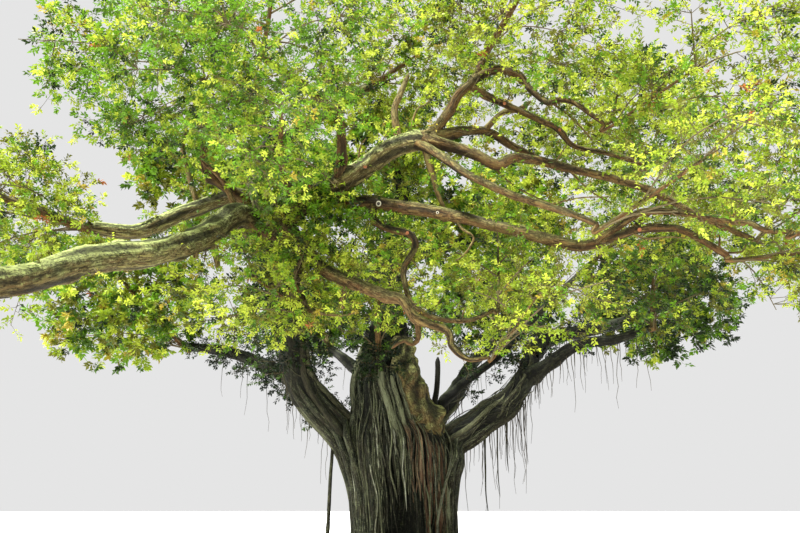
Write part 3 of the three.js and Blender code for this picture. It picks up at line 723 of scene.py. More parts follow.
class Finish:
    """A material and the nodes that it is made of."""

    def __init__(self, name):
        self.material = bpy.data.materials.new(name)
        self.material.use_nodes = True
        self.tree = self.material.node_tree
        self.tree.nodes.clear()

    def node(self, kind, settings=None, sockets=None, output=0):
        """Adds a node, sets its settings, then links or sets its sockets. Gives back one output."""
        node = self.tree.nodes.new("ShaderNode" + kind)
        for name, setting in (settings or {}).items():
            setattr(node, name, setting)
        for key, value in (sockets or {}).items():
            if isinstance(value, Value):
                self.tree.links.new(value.socket, node.inputs[key])
            else:
                node.inputs[key].default_value = value
        return Value(self, node.outputs[output]) if node.outputs else None

    def blend(self, share, first, second):
        """A colour that goes from the first to the second as share goes from 0 to 1."""
        first, second = (c if isinstance(c, Value) else (*c, 1) for c in (first, second))
        return self.node("Mix", {"data_type": "RGBA"}, {0: share, 6: first, 7: second}, output=2)

    def scaled(self, vector, scales):
        return self.node("VectorMath", {"operation": "MULTIPLY"}, {0: vector, 1: scales})

    def noise(self, vector, scale, detail=4.0, roughness=0.6):
        return self.node(
            "TexNoise", sockets={"Vector": vector, "Scale": scale, "Detail": detail, "Roughness": roughness}
        )

    def step(self, value, low, high):
        """0 below low, 1 above high, and smooth between."""
        return self.node(
            "MapRange", {"interpolation_type": "SMOOTHSTEP"},
            {"Value": value, "From Min": low, "From Max": high},
        )

    def size(self, value):
        """The value without its sign."""
        return self.node("Math", {"operation": "ABSOLUTE"}, {0: value})

    def attribute(self, name, output):
        return self.node("Attribute", {"attribute_name": name}, output=output)

    def surface(self, shader):
        self.node("OutputMaterial", sockets={"Surface": shader})
        return self.material


VECTOR_OUTPUT = 1
FACTOR_OUTPUT = 2


def tone(red, green, blue):
    """A colour given as it shows on a screen, from 0 to 255, turned into the renderer's own."""
    shares = (channel / 255 for channel in (red, green, blue))
    return tuple(s / 12.92 if s <= 0.04045 else ((s + 0.055) / 1.055) ** 2.4 for s in shares)


def bark_ground(finish, colours, grain, fine, ridges, wrinkles):
    """Bark darker where its relief pattern is low and lighter where it is high, partly its own colour and
    partly painted shade and highlight. Each root is darker or lighter by where its grain is.
    """
    colour = finish.blend(finish.step(ridges + fine * 0.6, 0.6, 1.0), colours["dark"], colours["bark"])
    colour = finish.blend(finish.step(fine + wrinkles * 0.5, 0.72, 1.0) * 0.7, colour, colours["light"])
    own = finish.noise(grain, scale=0.12, detail=0.0)
    colour = finish.blend((1 - finish.step(own, 0.36, 0.5)) * 0.55, colour, colours["dark"])
    return finish.blend(finish.step(own, 0.52, 0.66) * 0.35, colour, colours["light"])


def bark_finish(name, colours, lichen, redness, stretch=0.2, relief=0.03):
    """Bark: lengthwise fissures dark in the cracks, painted shade in the clefts, redder below, lichened
    above.
    """
    finish = Finish(name)
    grain = finish.attribute("grain", VECTOR_OUTPUT)
    hollow = finish.attribute("hollow", FACTOR_OUTPUT)
    place = finish.node("NewGeometry", output=0)
    normal = finish.node("NewGeometry", output=1)
    height = finish.node("SeparateXYZ", sockets={0: normal}, output=2)
    drawn = finish.scaled(grain, (1, 1, stretch))
    fine = finish.noise(drawn, scale=34.0, detail=5.0, roughness=0.7)
    ridges = finish.noise(drawn, scale=12.0, detail=4.0, roughness=0.6)
    wrinkles = finish.noise(finish.scaled(grain, (1, 1, 3.2)), scale=14.0, detail=3.0, roughness=0.6)
    patches = finish.noise(place, scale=2.2, detail=4.0, roughness=0.65)
    spots = finish.noise(place, scale=13.0, detail=4.0, roughness=0.7)
    fissure = 1 - finish.step(finish.size(ridges - 0.5), 0.0, 0.045)
    fissure = fissure * finish.step(patches, 0.3, 0.6)
    colour = bark_ground(finish, colours, grain, fine, ridges, wrinkles)
    below = finish.step(patches * 1.6 - height * 0.5, 0.55, 1.15)
    colour = finish.blend(below * redness, colour, colours["red"])
    above = height * 0.5 + spots * 1.1 + patches * 0.7
    above = finish.step(above, 1.25 - lichen * 0.35, 1.6 - lichen * 0.35)
    colour = finish.blend(above * lichen, colour, colours["lichen"])
    # Painted shade: near black where the cleft mark is high, in the grooves between cords and over the
    # trunk's core.
    deep = finish.step(hollow, 0.55, 1.0)
    stains = 1 - finish.step(spots + patches * 0.5, 0.5, 0.68)
    colour = finish.blend(stains * 0.6, colour, colours["dark"])
    colour = finish.blend(fissure * 0.75, colour, colours["crack_and_shade"])
    colour = finish.blend(deep * 0.8, colour, colours["crack_and_shade"])
    bumps = fine * 0.4 + ridges * 0.5 + wrinkles * 0.25 + spots * 0.3 - fissure * 0.5
    bump = finish.node("Bump", sockets={"Strength": 0.9, "Distance": relief, "Height": bumps})
    shader = finish.node(
        "BsdfPrincipled",
        sockets={"Base Color": colour, "Roughness": 0.92, "Specular IOR Level": 0.2, "Normal": bump},
    )
    return finish.surface(shader)


def leaf_finish(name, colour, through):
    """A leaf: a plain colour, a waxy face, and light that comes through it."""
    finish = Finish(name)
    face = finish.node(
        "BsdfPrincipled", sockets={"Base Color": (*colour, 1), "Roughness": 0.5, "Specular IOR Level": 0.28}
    )
    glow = finish.node("BsdfTranslucent", sockets={"Color": (*colour, 1)})
    return finish.surface(finish.node("MixShader", sockets={0: through, 1: face, 2: glow}))


def plain_finish(name, colour, roughness):
    """One colour all over."""
    finish = Finish(name)
    return finish.surface(
        finish.node("BsdfPrincipled", sockets={"Base Color": (*colour, 1), "Roughness": roughness})
    )


# The trunk: roots stand side by side round a core painted dark as the shade in the clefts. A turn of
# 0 faces the viewer, and a quarter turn is +X. Each group of roots has a stretch of turns, a count, the
# thinnest and the thickest, the lowest and the highest top and foot, and how deep each root's middle
# lies below the frame's outline, as a share of its thickness.
CORE_SIDES = 110
CORE_RINGS = 60
CORE_DEPTH = 0.13
CORE_ROUGHNESS = 0.05
NICHE = dict(turns=(-0.46, 0.22), heights=(0.1, 5.4), depth=0.5)
TRUNK_SEED = 7
TRUNK_ROOTS = {
    "trunk_columns": (
        ((-1.75, -0.52), 12, (0.16, 0.32), (3.9, 5.6), (0, 0), 0.3),
        ((0.96, 1.75), 8, (0.14, 0.28), (2.9, 3.5), (0, 0), 0.35),
        ((1.75, 4.53), 27, (0.16, 0.36), (3.4, 6.2), (0, 0), 0.3),
        ((-3.1, 3.1), 22, (0.12, 0.24), (5.8, 7.2), (3.4, 4.8), 0.2),
    ),
    "trunk_strands": (
        ((-0.56, -0.38), 5, (0.08, 0.16), (4.6, 6.4), (0, 0.4), 0.8),
        ((-0.4, 0.18), 19, (0.05, 0.13), (4.6, 6.4), (1.8, 3.1), 1.1),
        ((-3.14, 3.14), 130, (0.025, 0.055), (2.2, 6.2), (0, 1.8), -0.8),
    ),
    "trunk_flutes": (
        ((0.16, 0.56), 12, (0.06, 0.11), (4.1, 4.5), (1.5, 2.3), 0.2),
        ((0.5, 0.98), 12, (0.07, 0.13), (3.5, 3.9), (0.2, 1.3), 0.2),
    ),
    "pale_roots": (
        ((-0.42, -0.02), 9, (0.03, 0.05), (4.3, 5.2), (2.2, 3.2), 0.1),
        ((-1.1, 1.2), 5, (0.03, 0.05), (3, 4.4), (0.5, 1.5), -1.6),
    ),
}
# A pale root that slants across the right shoulder: turns and heights of its course
SLANTED_ROOT = dict(
    course=((1.35, 3.75), (1.08, 2.9), (0.82, 2.1), (0.64, 1.2), (0.58, 0.3)), thick=(0.12, 0.08),
    proud=0.08,
)
THIN_ROOT = 0.12
ROOT_STEP = 0.35
# How deep the roots' ends dive under the trunk's skin, and over what length
TOP_DIVE = 0.2
FOOT_DIVE = 0.12
DIVE_LENGTH = 0.25
# Roots that come down off a bough onto the trunk: bough, where they start on it, angle on it, turn
# on the trunk and thickness at both ends
MERGING_ROOTS = (
    ("left_bough", 0.3, -2.7, -1.6, (0.3, 0.3)), ("left_bough", 0.36, -2.2, -1.38, (0.26, 0.3)),
    ("left_bough", 0.3, -1.7, -1.16, (0.24, 0.28)), ("left_bough", 0.22, -1.2, -0.96, (0.2, 0.26)),
    ("left_bough", 0.28, -3.2, -1.8, (0.3, 0.32)), ("left_bough", 0.3, 2.6, -2.0, (0.26, 0.3)),
    ("right_bough", 0.34, 2.75, 1.5, (0.32, 0.28)), ("right_bough", 0.3, 2.25, 1.3, (0.24, 0.24)),
    ("right_bough", 0.24, 1.7, 1.12, (0.2, 0.22)), ("right_bough", 0.3, 3.3, 1.7, (0.3, 0.3)),
    ("right_bough", 0.28, 3.8, 1.92, (0.24, 0.28)), ("back_bough", 0.2, 2.6, 2.9, (0.24, 0.28)),
    ("back_bough", 0.22, 3.4, 3.15, (0.26, 0.3)), ("back_bough", 0.2, 4.0, 3.4, (0.22, 0.28)),
    ("back_left_bough", 0.18, 2.7, 3.9, (0.24, 0.28)), ("back_left_bough", 0.2, 3.5, 4.15, (0.24, 0.28)),
    ("back_right_bough", 0.2, 2.7, 2.3, (0.24, 0.28)), ("back_right_bough", 0.2, 3.5, 2.5, (0.24, 0.28)),
)


# Such a root leaves its bough at this share of it, meets the trunk so much lower, stands this proud
# there and settles over this length. On the bough and on the trunk it is sunk in by these shares of
# its thickness.
MERGING = dict(last=0.07, drop=0.45, proud=0.3, settle=0.8, sunk=(0.2, 0.25))


def trunk_outline(heights):
    """Half width, half depth and sideways shift of the trunk at each height."""
    stations = TRUNK_STATIONS
    width = np.interp(heights, stations[:, 0], stations[:, 1])
    depth = np.interp(heights, stations[:, 0], stations[:, 2])
    i = np.clip(np.searchsorted(stations[:, 0], heights, side="right") - 1, 0, len(stations) - 2)
    share = (heights - stations[i, 0]) / (stations[i + 1, 0] - stations[i, 0])
    shift = stations[i, 3] + (stations[i + 1, 3] - stations[i, 3]) * smooth_step(0, 1, share)
    return width, depth, shift


def trunk_surface(turns, heights, proud):
    """Places on the trunk's skin at these turns and heights, proud of it."""
    width, depth, shift = trunk_outline(heights)
    x = shift + np.sin(turns) * (width + proud)
    return np.stack(np.broadcast_arrays(x, -np.cos(turns) * (depth + proud), heights), -1)


def trunk_core(rng):
    """The core that shows in the clefts, deeper behind the strands at the front, painted dark as their
    shade.
    """
    top = TRUNK_STATIONS[-1, 0] + 0.4
    heights = top * np.linspace(0, 1, CORE_RINGS)
    turns = np.arange(CORE_SIDES) / CORE_SIDES * 2 * math.pi
    left, right = NICHE["turns"]
    low, high = NICHE["heights"]
    away = turned_away(turns, (left + right) / 2) / (right - left) * 2
    tall = smooth_step(low, low + 1, heights) - smooth_step(high - 1, high, heights)
    proud = -CORE_DEPTH - NICHE["depth"] * np.exp(-(away**4))[None] * tall[:, None]
    proud += CORE_ROUGHNESS * sheet_noise(rng, turns / (2 * math.pi), heights, around=80, spacing=1.2)
    places = trunk_surface(turns[None], heights[:, None], proud)
    faces = ring_faces(CORE_RINGS, CORE_SIDES)
    flat = places.reshape(-1, 3)
    # Every vertex of the core takes the full painted shade.
    return Shape(flat, faces, flat, np.ones(len(flat)))


def trunk_root(rng, turns, heights, proud, thick):
    """One root down the trunk's skin. A thin one has fewer sides."""
    course = Curve(trunk_surface(turns, heights, proud))
    tube = Tube(course, thick, sides=9 if thick[0] > THIN_ROOT else 5, spacing=0.2)
    add_lumps(tube, rng, depth=0.12, around=4, spacing=0.45)
    tube.taper_start(length=0.35, least=0.4)
    if heights[-1] > 0:
        tube.taper_tip(length=0.5, least=0.2)
    tube.drift_grain(rng)
    return tube.standing_shape()


def root_group(rng, turns, count, thick, tops, feet, sunk):
    """Roots side by side, each with a wander and a thickness of its own. Their ends dive in."""
    shapes = []
    for k in range(count):
        turn = between(turns, (k + 0.5 + 0.4 * rng.uniform(-1, 1)) / count)
        top, foot = between(tops, rng.uniform()), between(feet, rng.uniform())
        wide = between(thick, rng.uniform())
        heights = np.linspace(top, foot, max(round((top - foot) / ROOT_STEP), 4))
        wander = 0.05 * smooth_noise(rng, heights, 0.9) + 0.08 * smooth_noise(rng, heights, 2.6)
        proud = -sunk * wide + 0.03 * smooth_noise(rng, heights, 0.8)
        proud = proud - TOP_DIVE * np.exp(-(top - heights) / DIVE_LENGTH)
        if foot > 0:
            proud = proud - FOOT_DIVE * np.exp(-(heights - foot) / DIVE_LENGTH)
        ends = (wide, wide * rng.uniform(0.8, 1.25))
        shapes.append(trunk_root(rng, turn + wander, heights, proud, ends))
    return shapes


def slanted_root(rng):
    """The pale root across the trunk's right shoulder."""
    turns, heights = np.array(SLANTED_ROOT["course"]).T
    proud = np.full(len(turns), SLANTED_ROOT["proud"])
    return trunk_root(rng, turns, heights, proud, SLANTED_ROOT["thick"])


def leaning_stem(rng):
    """The pale, knotted stem that leans over the trunk's right shoulder."""
    tube = Tube(Curve(LEANING_STEM["course"]), LEANING_STEM["thick"], sides=40, spacing=0.045)
    add_lumps(tube, rng, depth=0.25, around=3, spacing=0.45)
    add_cords(tube, rng, count=6, height=0.6, twist=0.9, wander=1.0, spacing=0.5)
    add_knots(tube, rng, count=30, height=0.5, size=0.14)
    add_lumps(tube, rng, depth=0.12, around=9, spacing=0.16)
    tube.taper_tip(length=0.5, least=0.35)
    return tube.shape()


def merging_roots(limbs, rng):
    """Roots that come down off a bough and on down the trunk's skin to the ground."""
    shapes = []
    for name, start, angle, turn, thick in MERGING_ROOTS:
        limb = limbs[name]
        shares = np.linspace(start, MERGING["last"], 4)
        sunk = np.array(MERGING["sunk"]) * thick
        above = on_bough(limb, shares, np.full(4, angle), np.full(4, -sunk[0]))
        heights = np.linspace(above[-1, 2] - MERGING["drop"], 0, 10)
        wander = 0.05 * smooth_noise(rng, heights, 0.9)
        proud = MERGING["proud"] * np.exp(-(heights[0] - heights) / MERGING["settle"]) - sunk[1]
        below = trunk_surface(turn + wander, heights, proud)
        tube = Tube(Curve(np.concatenate([above, below])), thick, sides=9, spacing=0.16)
        add_lumps(tube, rng, depth=0.12, around=4, spacing=0.45)
        tube.taper_start(length=0.8, least=0.25)
        tube.drift_grain(rng)
        shapes.append(tube.standing_shape())
    return shapes


# Limbs. Those no thicker than this are slender, and those behind or under the crown take a darker bark
# as painted shade. Two short ones belong to the frame's node of what they spring from.
SLENDER = 0.42
SHADED_LIMBS = (
    "trunk_front", "left_bough", "right_bough", "right_far", "right_near", "diagonal", "centre_stem",
    "back_bough", "back_left_bough", "back_right_bough", "top_bough", "back_high_left",
    "back_high_right",
)
FUSED_LIMBS = dict(trunk_front="trunk", front_low="main_front")
# Sides round a limb for each metre of thickness, and the spacing of its rings as a share of it
SIDES_PER_METRE = 55
SIDES_WITHIN = (12, 44)
RING_SHARE = 0.13
SPACING_WITHIN = (0.05, 0.1)
LIMB_SEED = 1000
ROOT_SHAPE_SEED = 2000
BRANCH_SEED = 3000


def limb_shape(limb, limbs, rng):
    """A limb's bark. A thick one is roped with cords, and a slender one is smoother."""
    thickest = max(limb.thick)
    sides = int(np.clip(round(thickest * SIDES_PER_METRE), *SIDES_WITHIN))
    spacing = float(np.clip(thickest * RING_SHARE, *SPACING_WITHIN))
    tube = Tube(limb.curve, limb.thick, sides, spacing)
    add_lumps(tube, rng, depth=0.07, around=3, spacing=0.9)
    if thickest > SLENDER:
        add_cords(tube, rng, count=9, height=0.13, twist=0.12)
        add_lumps(tube, rng, depth=0.035, around=sides // 2, spacing=0.16)
        add_knots(tube, rng, count=round(limb.length * 2.2), height=0.28, size=0.16)
    else:
        add_cords(tube, rng, count=4, height=0.14, twist=0.2, wander=0.7, spacing=1.0)
        add_lumps(tube, rng, depth=0.05, around=5, spacing=0.22)
        add_knots(tube, rng, count=round(limb.length * 1.4), height=0.4, size=0.1)
    if limb.parent == "trunk":
        tube.taper_start(length=0.9, least=0.5)
    else:
        hidden = between(limbs[limb.parent].thick, limb.start) / 2
        add_flare(tube, hidden, gain=0.35, length=limb.thick[0] * 0.6)
    tube.taper_tip(length=limb.thick[1] * 0.5, least=0.6)
    return tube.shape()


# Roots grown onto the boughs: bough, stretch, angle (0 on top, a quarter turn towards the viewer on
# the right bough and away from them on the left one), twist per metre and thickness at both ends
BOUGH_ROOTS = (
    ("right_bough", (0.0, 0.66), 0.35, 0.1, (0.26, 0.13)),
    ("right_bough", (0.06, 0.56), 2.7, 0.1, (0.2, 0.34)),
    ("right_bough", (0.0, 0.5), 1.5, -0.25, (0.2, 0.12)),
    ("right_bough", (0.3, 0.95), 1.9, -0.3, (0.16, 0.1)),
    ("left_bough", (0.0, 0.5), -0.5, -0.1, (0.3, 0.16)),
    ("left_bough", (0.03, 0.6), -1.9, 0.15, (0.28, 0.18)),
    ("left_bough", (0.0, 0.4), 2.6, 0.1, (0.3, 0.2)),
    ("left_bough", (0.2, 0.75), -1.1, 0.2, (0.16, 0.1)),
    ("back_bough", (0.0, 0.4), 0.8, 0.2, (0.24, 0.14)),
    ("back_bough", (0.0, 0.35), -1.2, 0.2, (0.22, 0.12)),
    ("back_left_bough", (0.0, 0.35), 1.4, -0.2, (0.24, 0.12)),
    ("back_left_bough", (0.0, 0.3), -1.4, 0.2, (0.22, 0.12)),
    ("back_right_bough", (0.0, 0.35), 1.2, 0.2, (0.22, 0.12)),
)
# Wiry roots tangled round the boughs: bough, how many, stretch
WIRY_ROOTS = (
    ("right_bough", 26, (0.0, 0.75)), ("left_bough", 12, (0.0, 0.6)), ("back_bough", 7, (0.0, 0.3)),
    ("back_left_bough", 7, (0.0, 0.3)), ("back_right_bough", 7, (0.0, 0.3)),
)
# A wiry root: its thickness, how proud of the bark it lies, the stretch's share that it may start
# in, how far it runs, its greatest twist per metre and its wander
WIRE = dict(
    thick=(0.02, 0.038), proud=(0.01, 0.09), starts=0.7, runs=(0.15, 0.45), twist=1.6, wander=0.8,
)
BOUGH_ROOT = dict(step=0.25, proud=-0.02, wander=0.25)
# Fine roots that hang free: limb, how many, stretch, shortest and longest
FREE_ROOTS = (
    ("right_bough", 34, (0.08, 0.62), (0.7, 3.1)), ("right_bough", 16, (0.6, 1), (0.5, 1.9)),
    ("right_near", 22, (0.1, 0.95), (0.5, 2.1)), ("right_far", 16, (0.05, 0.55), (0.6, 2.2)),
    ("left_bough", 12, (0.1, 0.45), (0.4, 1.6)), ("diagonal", 8, (0.1, 0.5), (0.4, 1.4)),
    ("back_bough", 14, (0.1, 0.8), (0.5, 2.2)), ("back_left_bough", 14, (0.1, 0.8), (0.5, 2.2)),
    ("back_right_bough", 14, (0.1, 0.8), (0.5, 2.2)),
)
FREE_THICK = (0.03, 0.01)
FREE_STEPS = 7
FREE_SWAY = 0.022
# The greater this is, the more of the fine roots are short
MOSTLY_SHORT = 1.6
GROUND_CLEARANCE = 0.5


def on_bough(limb, shares, angles, proud):
    """Places round a limb at these shares of it, where angle 0 is its top."""
    points, _, side, across = carried_frames(limb.curve, shares)
    out = side * np.cos(angles)[:, None] + across * np.sin(angles)[:, None]
    return points + out * (between(limb.thick, shares) / 2 + proud)[:, None]


def bough_root(rng, limb, span, angle, twist, thick, proud, wander):
    """One root along a stretch of a bough, turning round it and wandering over it."""
    steps = round(limb.length * (span[1] - span[0]) / BOUGH_ROOT["step"])
    shares = np.linspace(*span, max(steps, 4))
    places = shares * limb.length
    angles = angle + twist * (places - places[0]) + wander * smooth_noise(rng, places, 0.7)
    heights = proud + 0.02 * smooth_noise(rng, places, 0.4)
    course = on_bough(limb, shares, angles, heights)
    tube = Tube(Curve(course), thick, sides=8 if thick[0] > 0.1 else 4, spacing=0.12)
    add_lumps(tube, rng, depth=0.14, around=4, spacing=0.4)
    tube.taper_start(length=0.3, least=0.4)
    tube.taper_tip(length=0.6, least=0.2)
    tube.drift_grain(rng)
    return tube.shape()


def roots_on_boughs(limbs, rng):
    """The roots grown onto the boughs, and the wiry ones tangled round them."""
    shapes = []
    for name, span, angle, twist, thick in BOUGH_ROOTS:
        proud, wander = BOUGH_ROOT["proud"], BOUGH_ROOT["wander"]
        shapes.append(bough_root(rng, limbs[name], span, angle, twist, thick, proud, wander))
    for name, count, span in WIRY_ROOTS:
        for _ in range(count):
            start = between(span, WIRE["starts"] * rng.uniform())
            stretch = (start, min(start + rng.uniform(*WIRE["runs"]), 1))
            thin = between(WIRE["thick"], rng.uniform())
            twist = rng.uniform(-WIRE["twist"], WIRE["twist"])
            angle, proud = rng.uniform(0, 2 * math.pi), rng.uniform(*WIRE["proud"])
            ends, wander = (thin, thin), WIRE["wander"]
            shapes.append(bough_root(rng, limbs[name], stretch, angle, twist, ends, proud, wander))
    return shapes


def free_roots(limbs, rng):
    """Lines of the fine roots that hang from the undersides of the boughs."""
    lines = []
    for name, count, span, drops in FREE_ROOTS:
        limb = limbs[name]
        shares = between(span, (np.arange(count) + rng.random(count)) / count)
        tops = on_bough(limb, shares, math.pi + rng.uniform(-0.5, 0.5, count), np.zeros(count))
        drop = between(drops, rng.random(count) ** MOSTLY_SHORT)
        drop = np.minimum(drop, tops[:, 2] - GROUND_CLEARANCE)
        t = np.linspace(0, 1, FREE_STEPS)
        line = tops[:, None] - UP * (drop[:, None] * t)[..., None]
        sway = np.cumsum(rng.normal(0, FREE_SWAY, (count, FREE_STEPS, 2)), axis=1)
        line[..., :2] += sway * drop[:, None, None] * t[None, :, None] ** 0.5
        lines.append(line)
    return np.concatenate(lines)


# Small branches: limb, place along it, thickness at both ends and runs, then "sawn" or "broken" for
# one that doesn't end in a tip
SMALL_BRANCHES = (
    ("main_front", 0.95, (0.21, 0.1), ((1.03, 45, -66), (0.47, 63, -56), (0.45, 48, -50))),
    ("main_front", 0.785, (0.24, 0.12), ((0.95, -128, 75), (0.6, 9, 74), (0.67, 2, 70))),
    ("main_front", 0.839, (0.07, 0.03), ((0.91, -37, 72), (0.38, 5, 41), (0.48, -2, 48))),
    ("main_front", 0.535, (0.06, 0.03), ((0.71, -76, 55), (0.32, -46, 41))),
    ("twin_upper", 0.461, (0.18, 0.12), ((0.71, -17, 41), (0.44, -4, 12), (0.45, -11, 32))),
    ("high_centre", 0.362, (0.32, 0.28), ((0.48, -76, 31), (1.07, -22, 12)), "broken"),
    ("high_centre", 0.362, (0.3, 0.24), ((0.62, -70, 40), (0.75, -26, 39)), "broken"),
    ("hanging_left", 0.494, (0.2, 0.17), ((0.41, 164, -41), (0.27, 123, -69)), "sawn"),
    ("hanging_left", 1.0, (0.11, 0.06), ((0.16, 173, -19), (0.38, -176, 12))),
    ("hanging_left", 1.0, (0.11, 0.06), ((0.8, 2, -7), (0.45, -3, 10))),
    ("kinked", 0.45, (0.04, 0.02), ((0.5, -4, -58), (0.2, 23, -56))),
    ("kinked", 0.77, (0.04, 0.02), ((0.5, -30, 47), (0.1, -17, 43))),
    ("kinked", 0.88, (0.04, 0.02), ((0.2, -73, 79), (0.2, -31, 60))),
    ("near_left", 0.315, (0.2, 0.15), ((0.52, 82, -83),), "sawn"),
    ("near_left", 0.28, (0.05, 0.03), ((0.41, 109, -71), (0.32, 119, -70))),
    ("near_left", 0.136, (0.26, 0.15), ((0.49, -2, -37), (0.52, -1, -36), (0.44, -8, -19))),
    ("near_left", 0.273, (0.24, 0.14), ((0.58, 46, -66), (0.38, 65, -70)), "sawn"),
    ("near_left", 0.152, (0.18, 0.1), ((1.1, -125, 49), (0.81, -140, 30))),
    ("drooping", 0.257, (0.2, 0.17), ((0.74, 103, -72),), "sawn"),
    (
        "drooping", 0.556, (0.16, 0.07),
        (
            (0.2, 55, -72), (0.3, 86, -73), (0.2, 165, -38), (0.2, -172, 24), (0.2, -151, -24),
            (0.2, 162, -38),
        ),
    ),
    ("diagonal", 0.072, (0.22, 0.17), ((0.88, -68, 71), (0.95, -79, 78))),
    ("far_left", 0.583, (0.2, 0.07), ((1.71, -133, 66), (0.83, -76, 72), (0.74, -44, 65), (1.43, -2, 71))),
    ("twin_upper", 0.6, (0.05, 0.025), ((0.54, -6, 17), (0.41, 23, -51))),
    ("arch_fall", 0.2, (0.08, 0.04), ((1.98, 17, -28), (0.63, 24, -33), (0.57, 28, -37))),
    ("arch_fall", 0.22, (0.05, 0.03), ((0.59, 43, -65), (0.33, 129, -67))),
    (
        "arch_fall", 1.0, (0.09, 0.04),
        ((0.2, -8, 23), (0.4, -55, 69), (0.3, 3, 70), (0.4, 5, 40), (0.5, -1, 46)),
    ),
    ("long_right", 0.934, (0.06, 0.03), ((0.46, -40, 64), (0.53, -7, 55), (0.53, -4, 50), (0.47, -9, 25))),
    ("long_right", 0.777, (0.06, 0.03), ((0.42, -38, 62), (0.48, -14, 36))),
    ("wide_right", 0.97, (0.08, 0.04), ((0.21, -80, 72), (0.32, 5, 80))),
    ("wide_right", 0.98, (0.06, 0.03), ((0.46, -1, 3), (0.3, -28, 56))),
    ("wide_right", 0.7, (0.07, 0.03), ((0.38, -8, -32), (0.64, -9, 0), (0.66, -6, -9))),
    ("lower_right", 0.75, (0.05, 0.02), ((0.8, -4, 12), (0.69, -1, 2))),
    ("long_right", 0.242, (0.06, 0.03), ((0.81, 17, -42), (0.77, 9, -27), (0.5, 7, -20))),
    ("long_right", 0.555, (0.06, 0.03), ((0.73, 17, -42), (0.39, 12, -34), (0.4, 9, -26))),
    ("long_right", 0.524, (0.06, 0.03), ((0.4, -24, 51), (0.3, -27, 55))),
    ("wide_right", 0.3, (0.1, 0.04), ((0.4, -22, -65), (0.4, 1, -41), (0.5, 153, -56), (0.3, 167, -33))),
)
# Scars: limb, place along it, radius, and whether it is a pale ring round a dark middle. They face
# down towards the viewer. A scar stands this far proud of the bark, and its dark middle a bit more.
SCARS = (
    ("wide_right", 0.129, 0.08, True), ("wide_right", 0.27, 0.04, True), ("main_front", 0.594, 0.05, False),
    ("arch_lower", 0.195, 0.045, False), ("arch_lower", 0.505, 0.045, False),
    ("wide_right", 0.727, 0.05, False), ("long_right", 0.86, 0.05, False), ("kinked", 0.3, 0.05, False),
)
SCAR_FACING = np.array((0.0, -0.93, -0.37))
SCAR_SIDES = 12
SCAR_PROUD = (0.03, 0.036)
SCAR_MIDDLE = 0.6
# Rings of a flat round face, as shares of its radius
DISC_RINGS = (1, 0.55, 0.03)


def ringed_disc(rim, middle):
    """A flat round face, from its rim in to its middle."""
    rings = [middle + (rim - middle) * share for share in DISC_RINGS]
    places = np.concatenate(rings)
    return Shape(places, ring_faces(len(rings), len(rim)), places, np.zeros(len(places)))


def small_branches(limbs):
    """The bark of the small branches, the darker bark of those in painted shade, and the wood of those sawn
    off.
    """
    bark, dark, wood = [], [], []
    for index, (name, at, thick, runs, *end) in enumerate(SMALL_BRANCHES):
        rng = np.random.default_rng(BRANCH_SEED + index)
        branch = Limb(name, limbs, name, thick, runs, at=at)
        tube = Tube(branch.curve, thick, sides=10 if thick[0] > 0.15 else 6, spacing=0.08)
        add_lumps(tube, rng, depth=0.12, around=3, spacing=0.35)
        if not end:
            tube.taper_tip(length=thick[1], least=0.3)
        tube.drift_grain(rng)
        shape = tube.shape()
        # Painted shade: branches on shaded limbs, and broken ones, take the shaded limbs' darker bark.
        group = dark if "broken" in end or name in SHADED_LIMBS else bark
        group.append(shape)
        disc = ringed_disc(shape.places[-len(tube.angles):], tube.points[-1])
        (wood if "sawn" in end else group).append(disc)
    return joined(bark), joined(dark), wood


def scars(limbs):
    """Flat scars on the limbs' near sides: pale rounds, their dark middles, and fresh rounds."""
    turns = np.arange(SCAR_SIDES)[:, None] / SCAR_SIDES * 2 * math.pi
    pale, dark, fresh = [], [], []
    for name, at, radius, ringed in SCARS:
        limb = limbs[name]
        along = limb.curve.along(at)
        out = unit(SCAR_FACING - along * (SCAR_FACING @ along))
        across = np.cross(out, along)
        rim = (along * np.cos(turns) + across * np.sin(turns)) * radius
        skin = limb.curve.at(at) + out * between(limb.thick, at) / 2
        outer, inner = (skin + out * proud for proud in SCAR_PROUD)
        (pale if ringed else fresh).append(ringed_disc(outer + rim, outer))
        if ringed:
            dark.append(ringed_disc(inner + rim * SCAR_MIDDLE, inner))
    return pale, dark, fresh


def root_shape(spec, index, limbs, rng):
    """The bark of an aerial root. One that hangs free ends in a point."""
    curve = root_curve(spec, index, limbs)
    tube = Tube(curve, spec["thick"], sides=10 if spec["thick"][0] > 0.1 else 7, spacing=0.07)
    add_lumps(tube, rng, depth=0.12, around=3, spacing=0.25)
    if "length" in spec:
        tube.taper_tip(length=0.3, least=0.15)
    return tube.shape()


# Foliage
def on_lines(lines, shares):
    """Points and directions at these shares of each line, where a line is a row of points."""
    last = lines.shape[1] - 1
    place = np.clip(shares, 0, 1) * last
    i = np.minimum(place.astype(int), last - 1)
    rows = np.arange(len(lines))[:, None]
    start, end = lines[rows, i], lines[rows, i + 1]
    return start + (end - start) * (place - i)[..., None], unit(end - start)


def boughlets(mass, rng):
    """The first forks off a mass's stem, each a smooth line out to its place in the mass."""
    count = max(round(BOUGHLET["density"] * mass.spread * mass.depth), 5)
    turn = rng.uniform() * 2 * math.pi
    lines = []
    for i in range(count):
        height = 1 - (2 * i + 1) / count
        level = math.sqrt(1 - height * height)
        around = turn + i * GOLDEN_TURN
        reach = between(BOUGHLET["reach"], rng.uniform())
        fork_share = between(BOUGHLET["fork"], (i + BOUGHLET["jitter"] * rng.uniform()) / count)
        fork = mass.stem.at(fork_share)
        outward = np.array((
            math.cos(around) * level * mass.spread,
            math.sin(around) * level * mass.spread,
            height * mass.depth,
        ))
        end = mass.middle + outward * reach
        middle = (fork + end) / 2 + UP * BOUGHLET["arch"] * np.linalg.norm(end - fork)
        lines.append(Curve((fork, middle, end)).at(np.linspace(0, 1, BOUGHLET["steps"])))
    return np.array(lines)


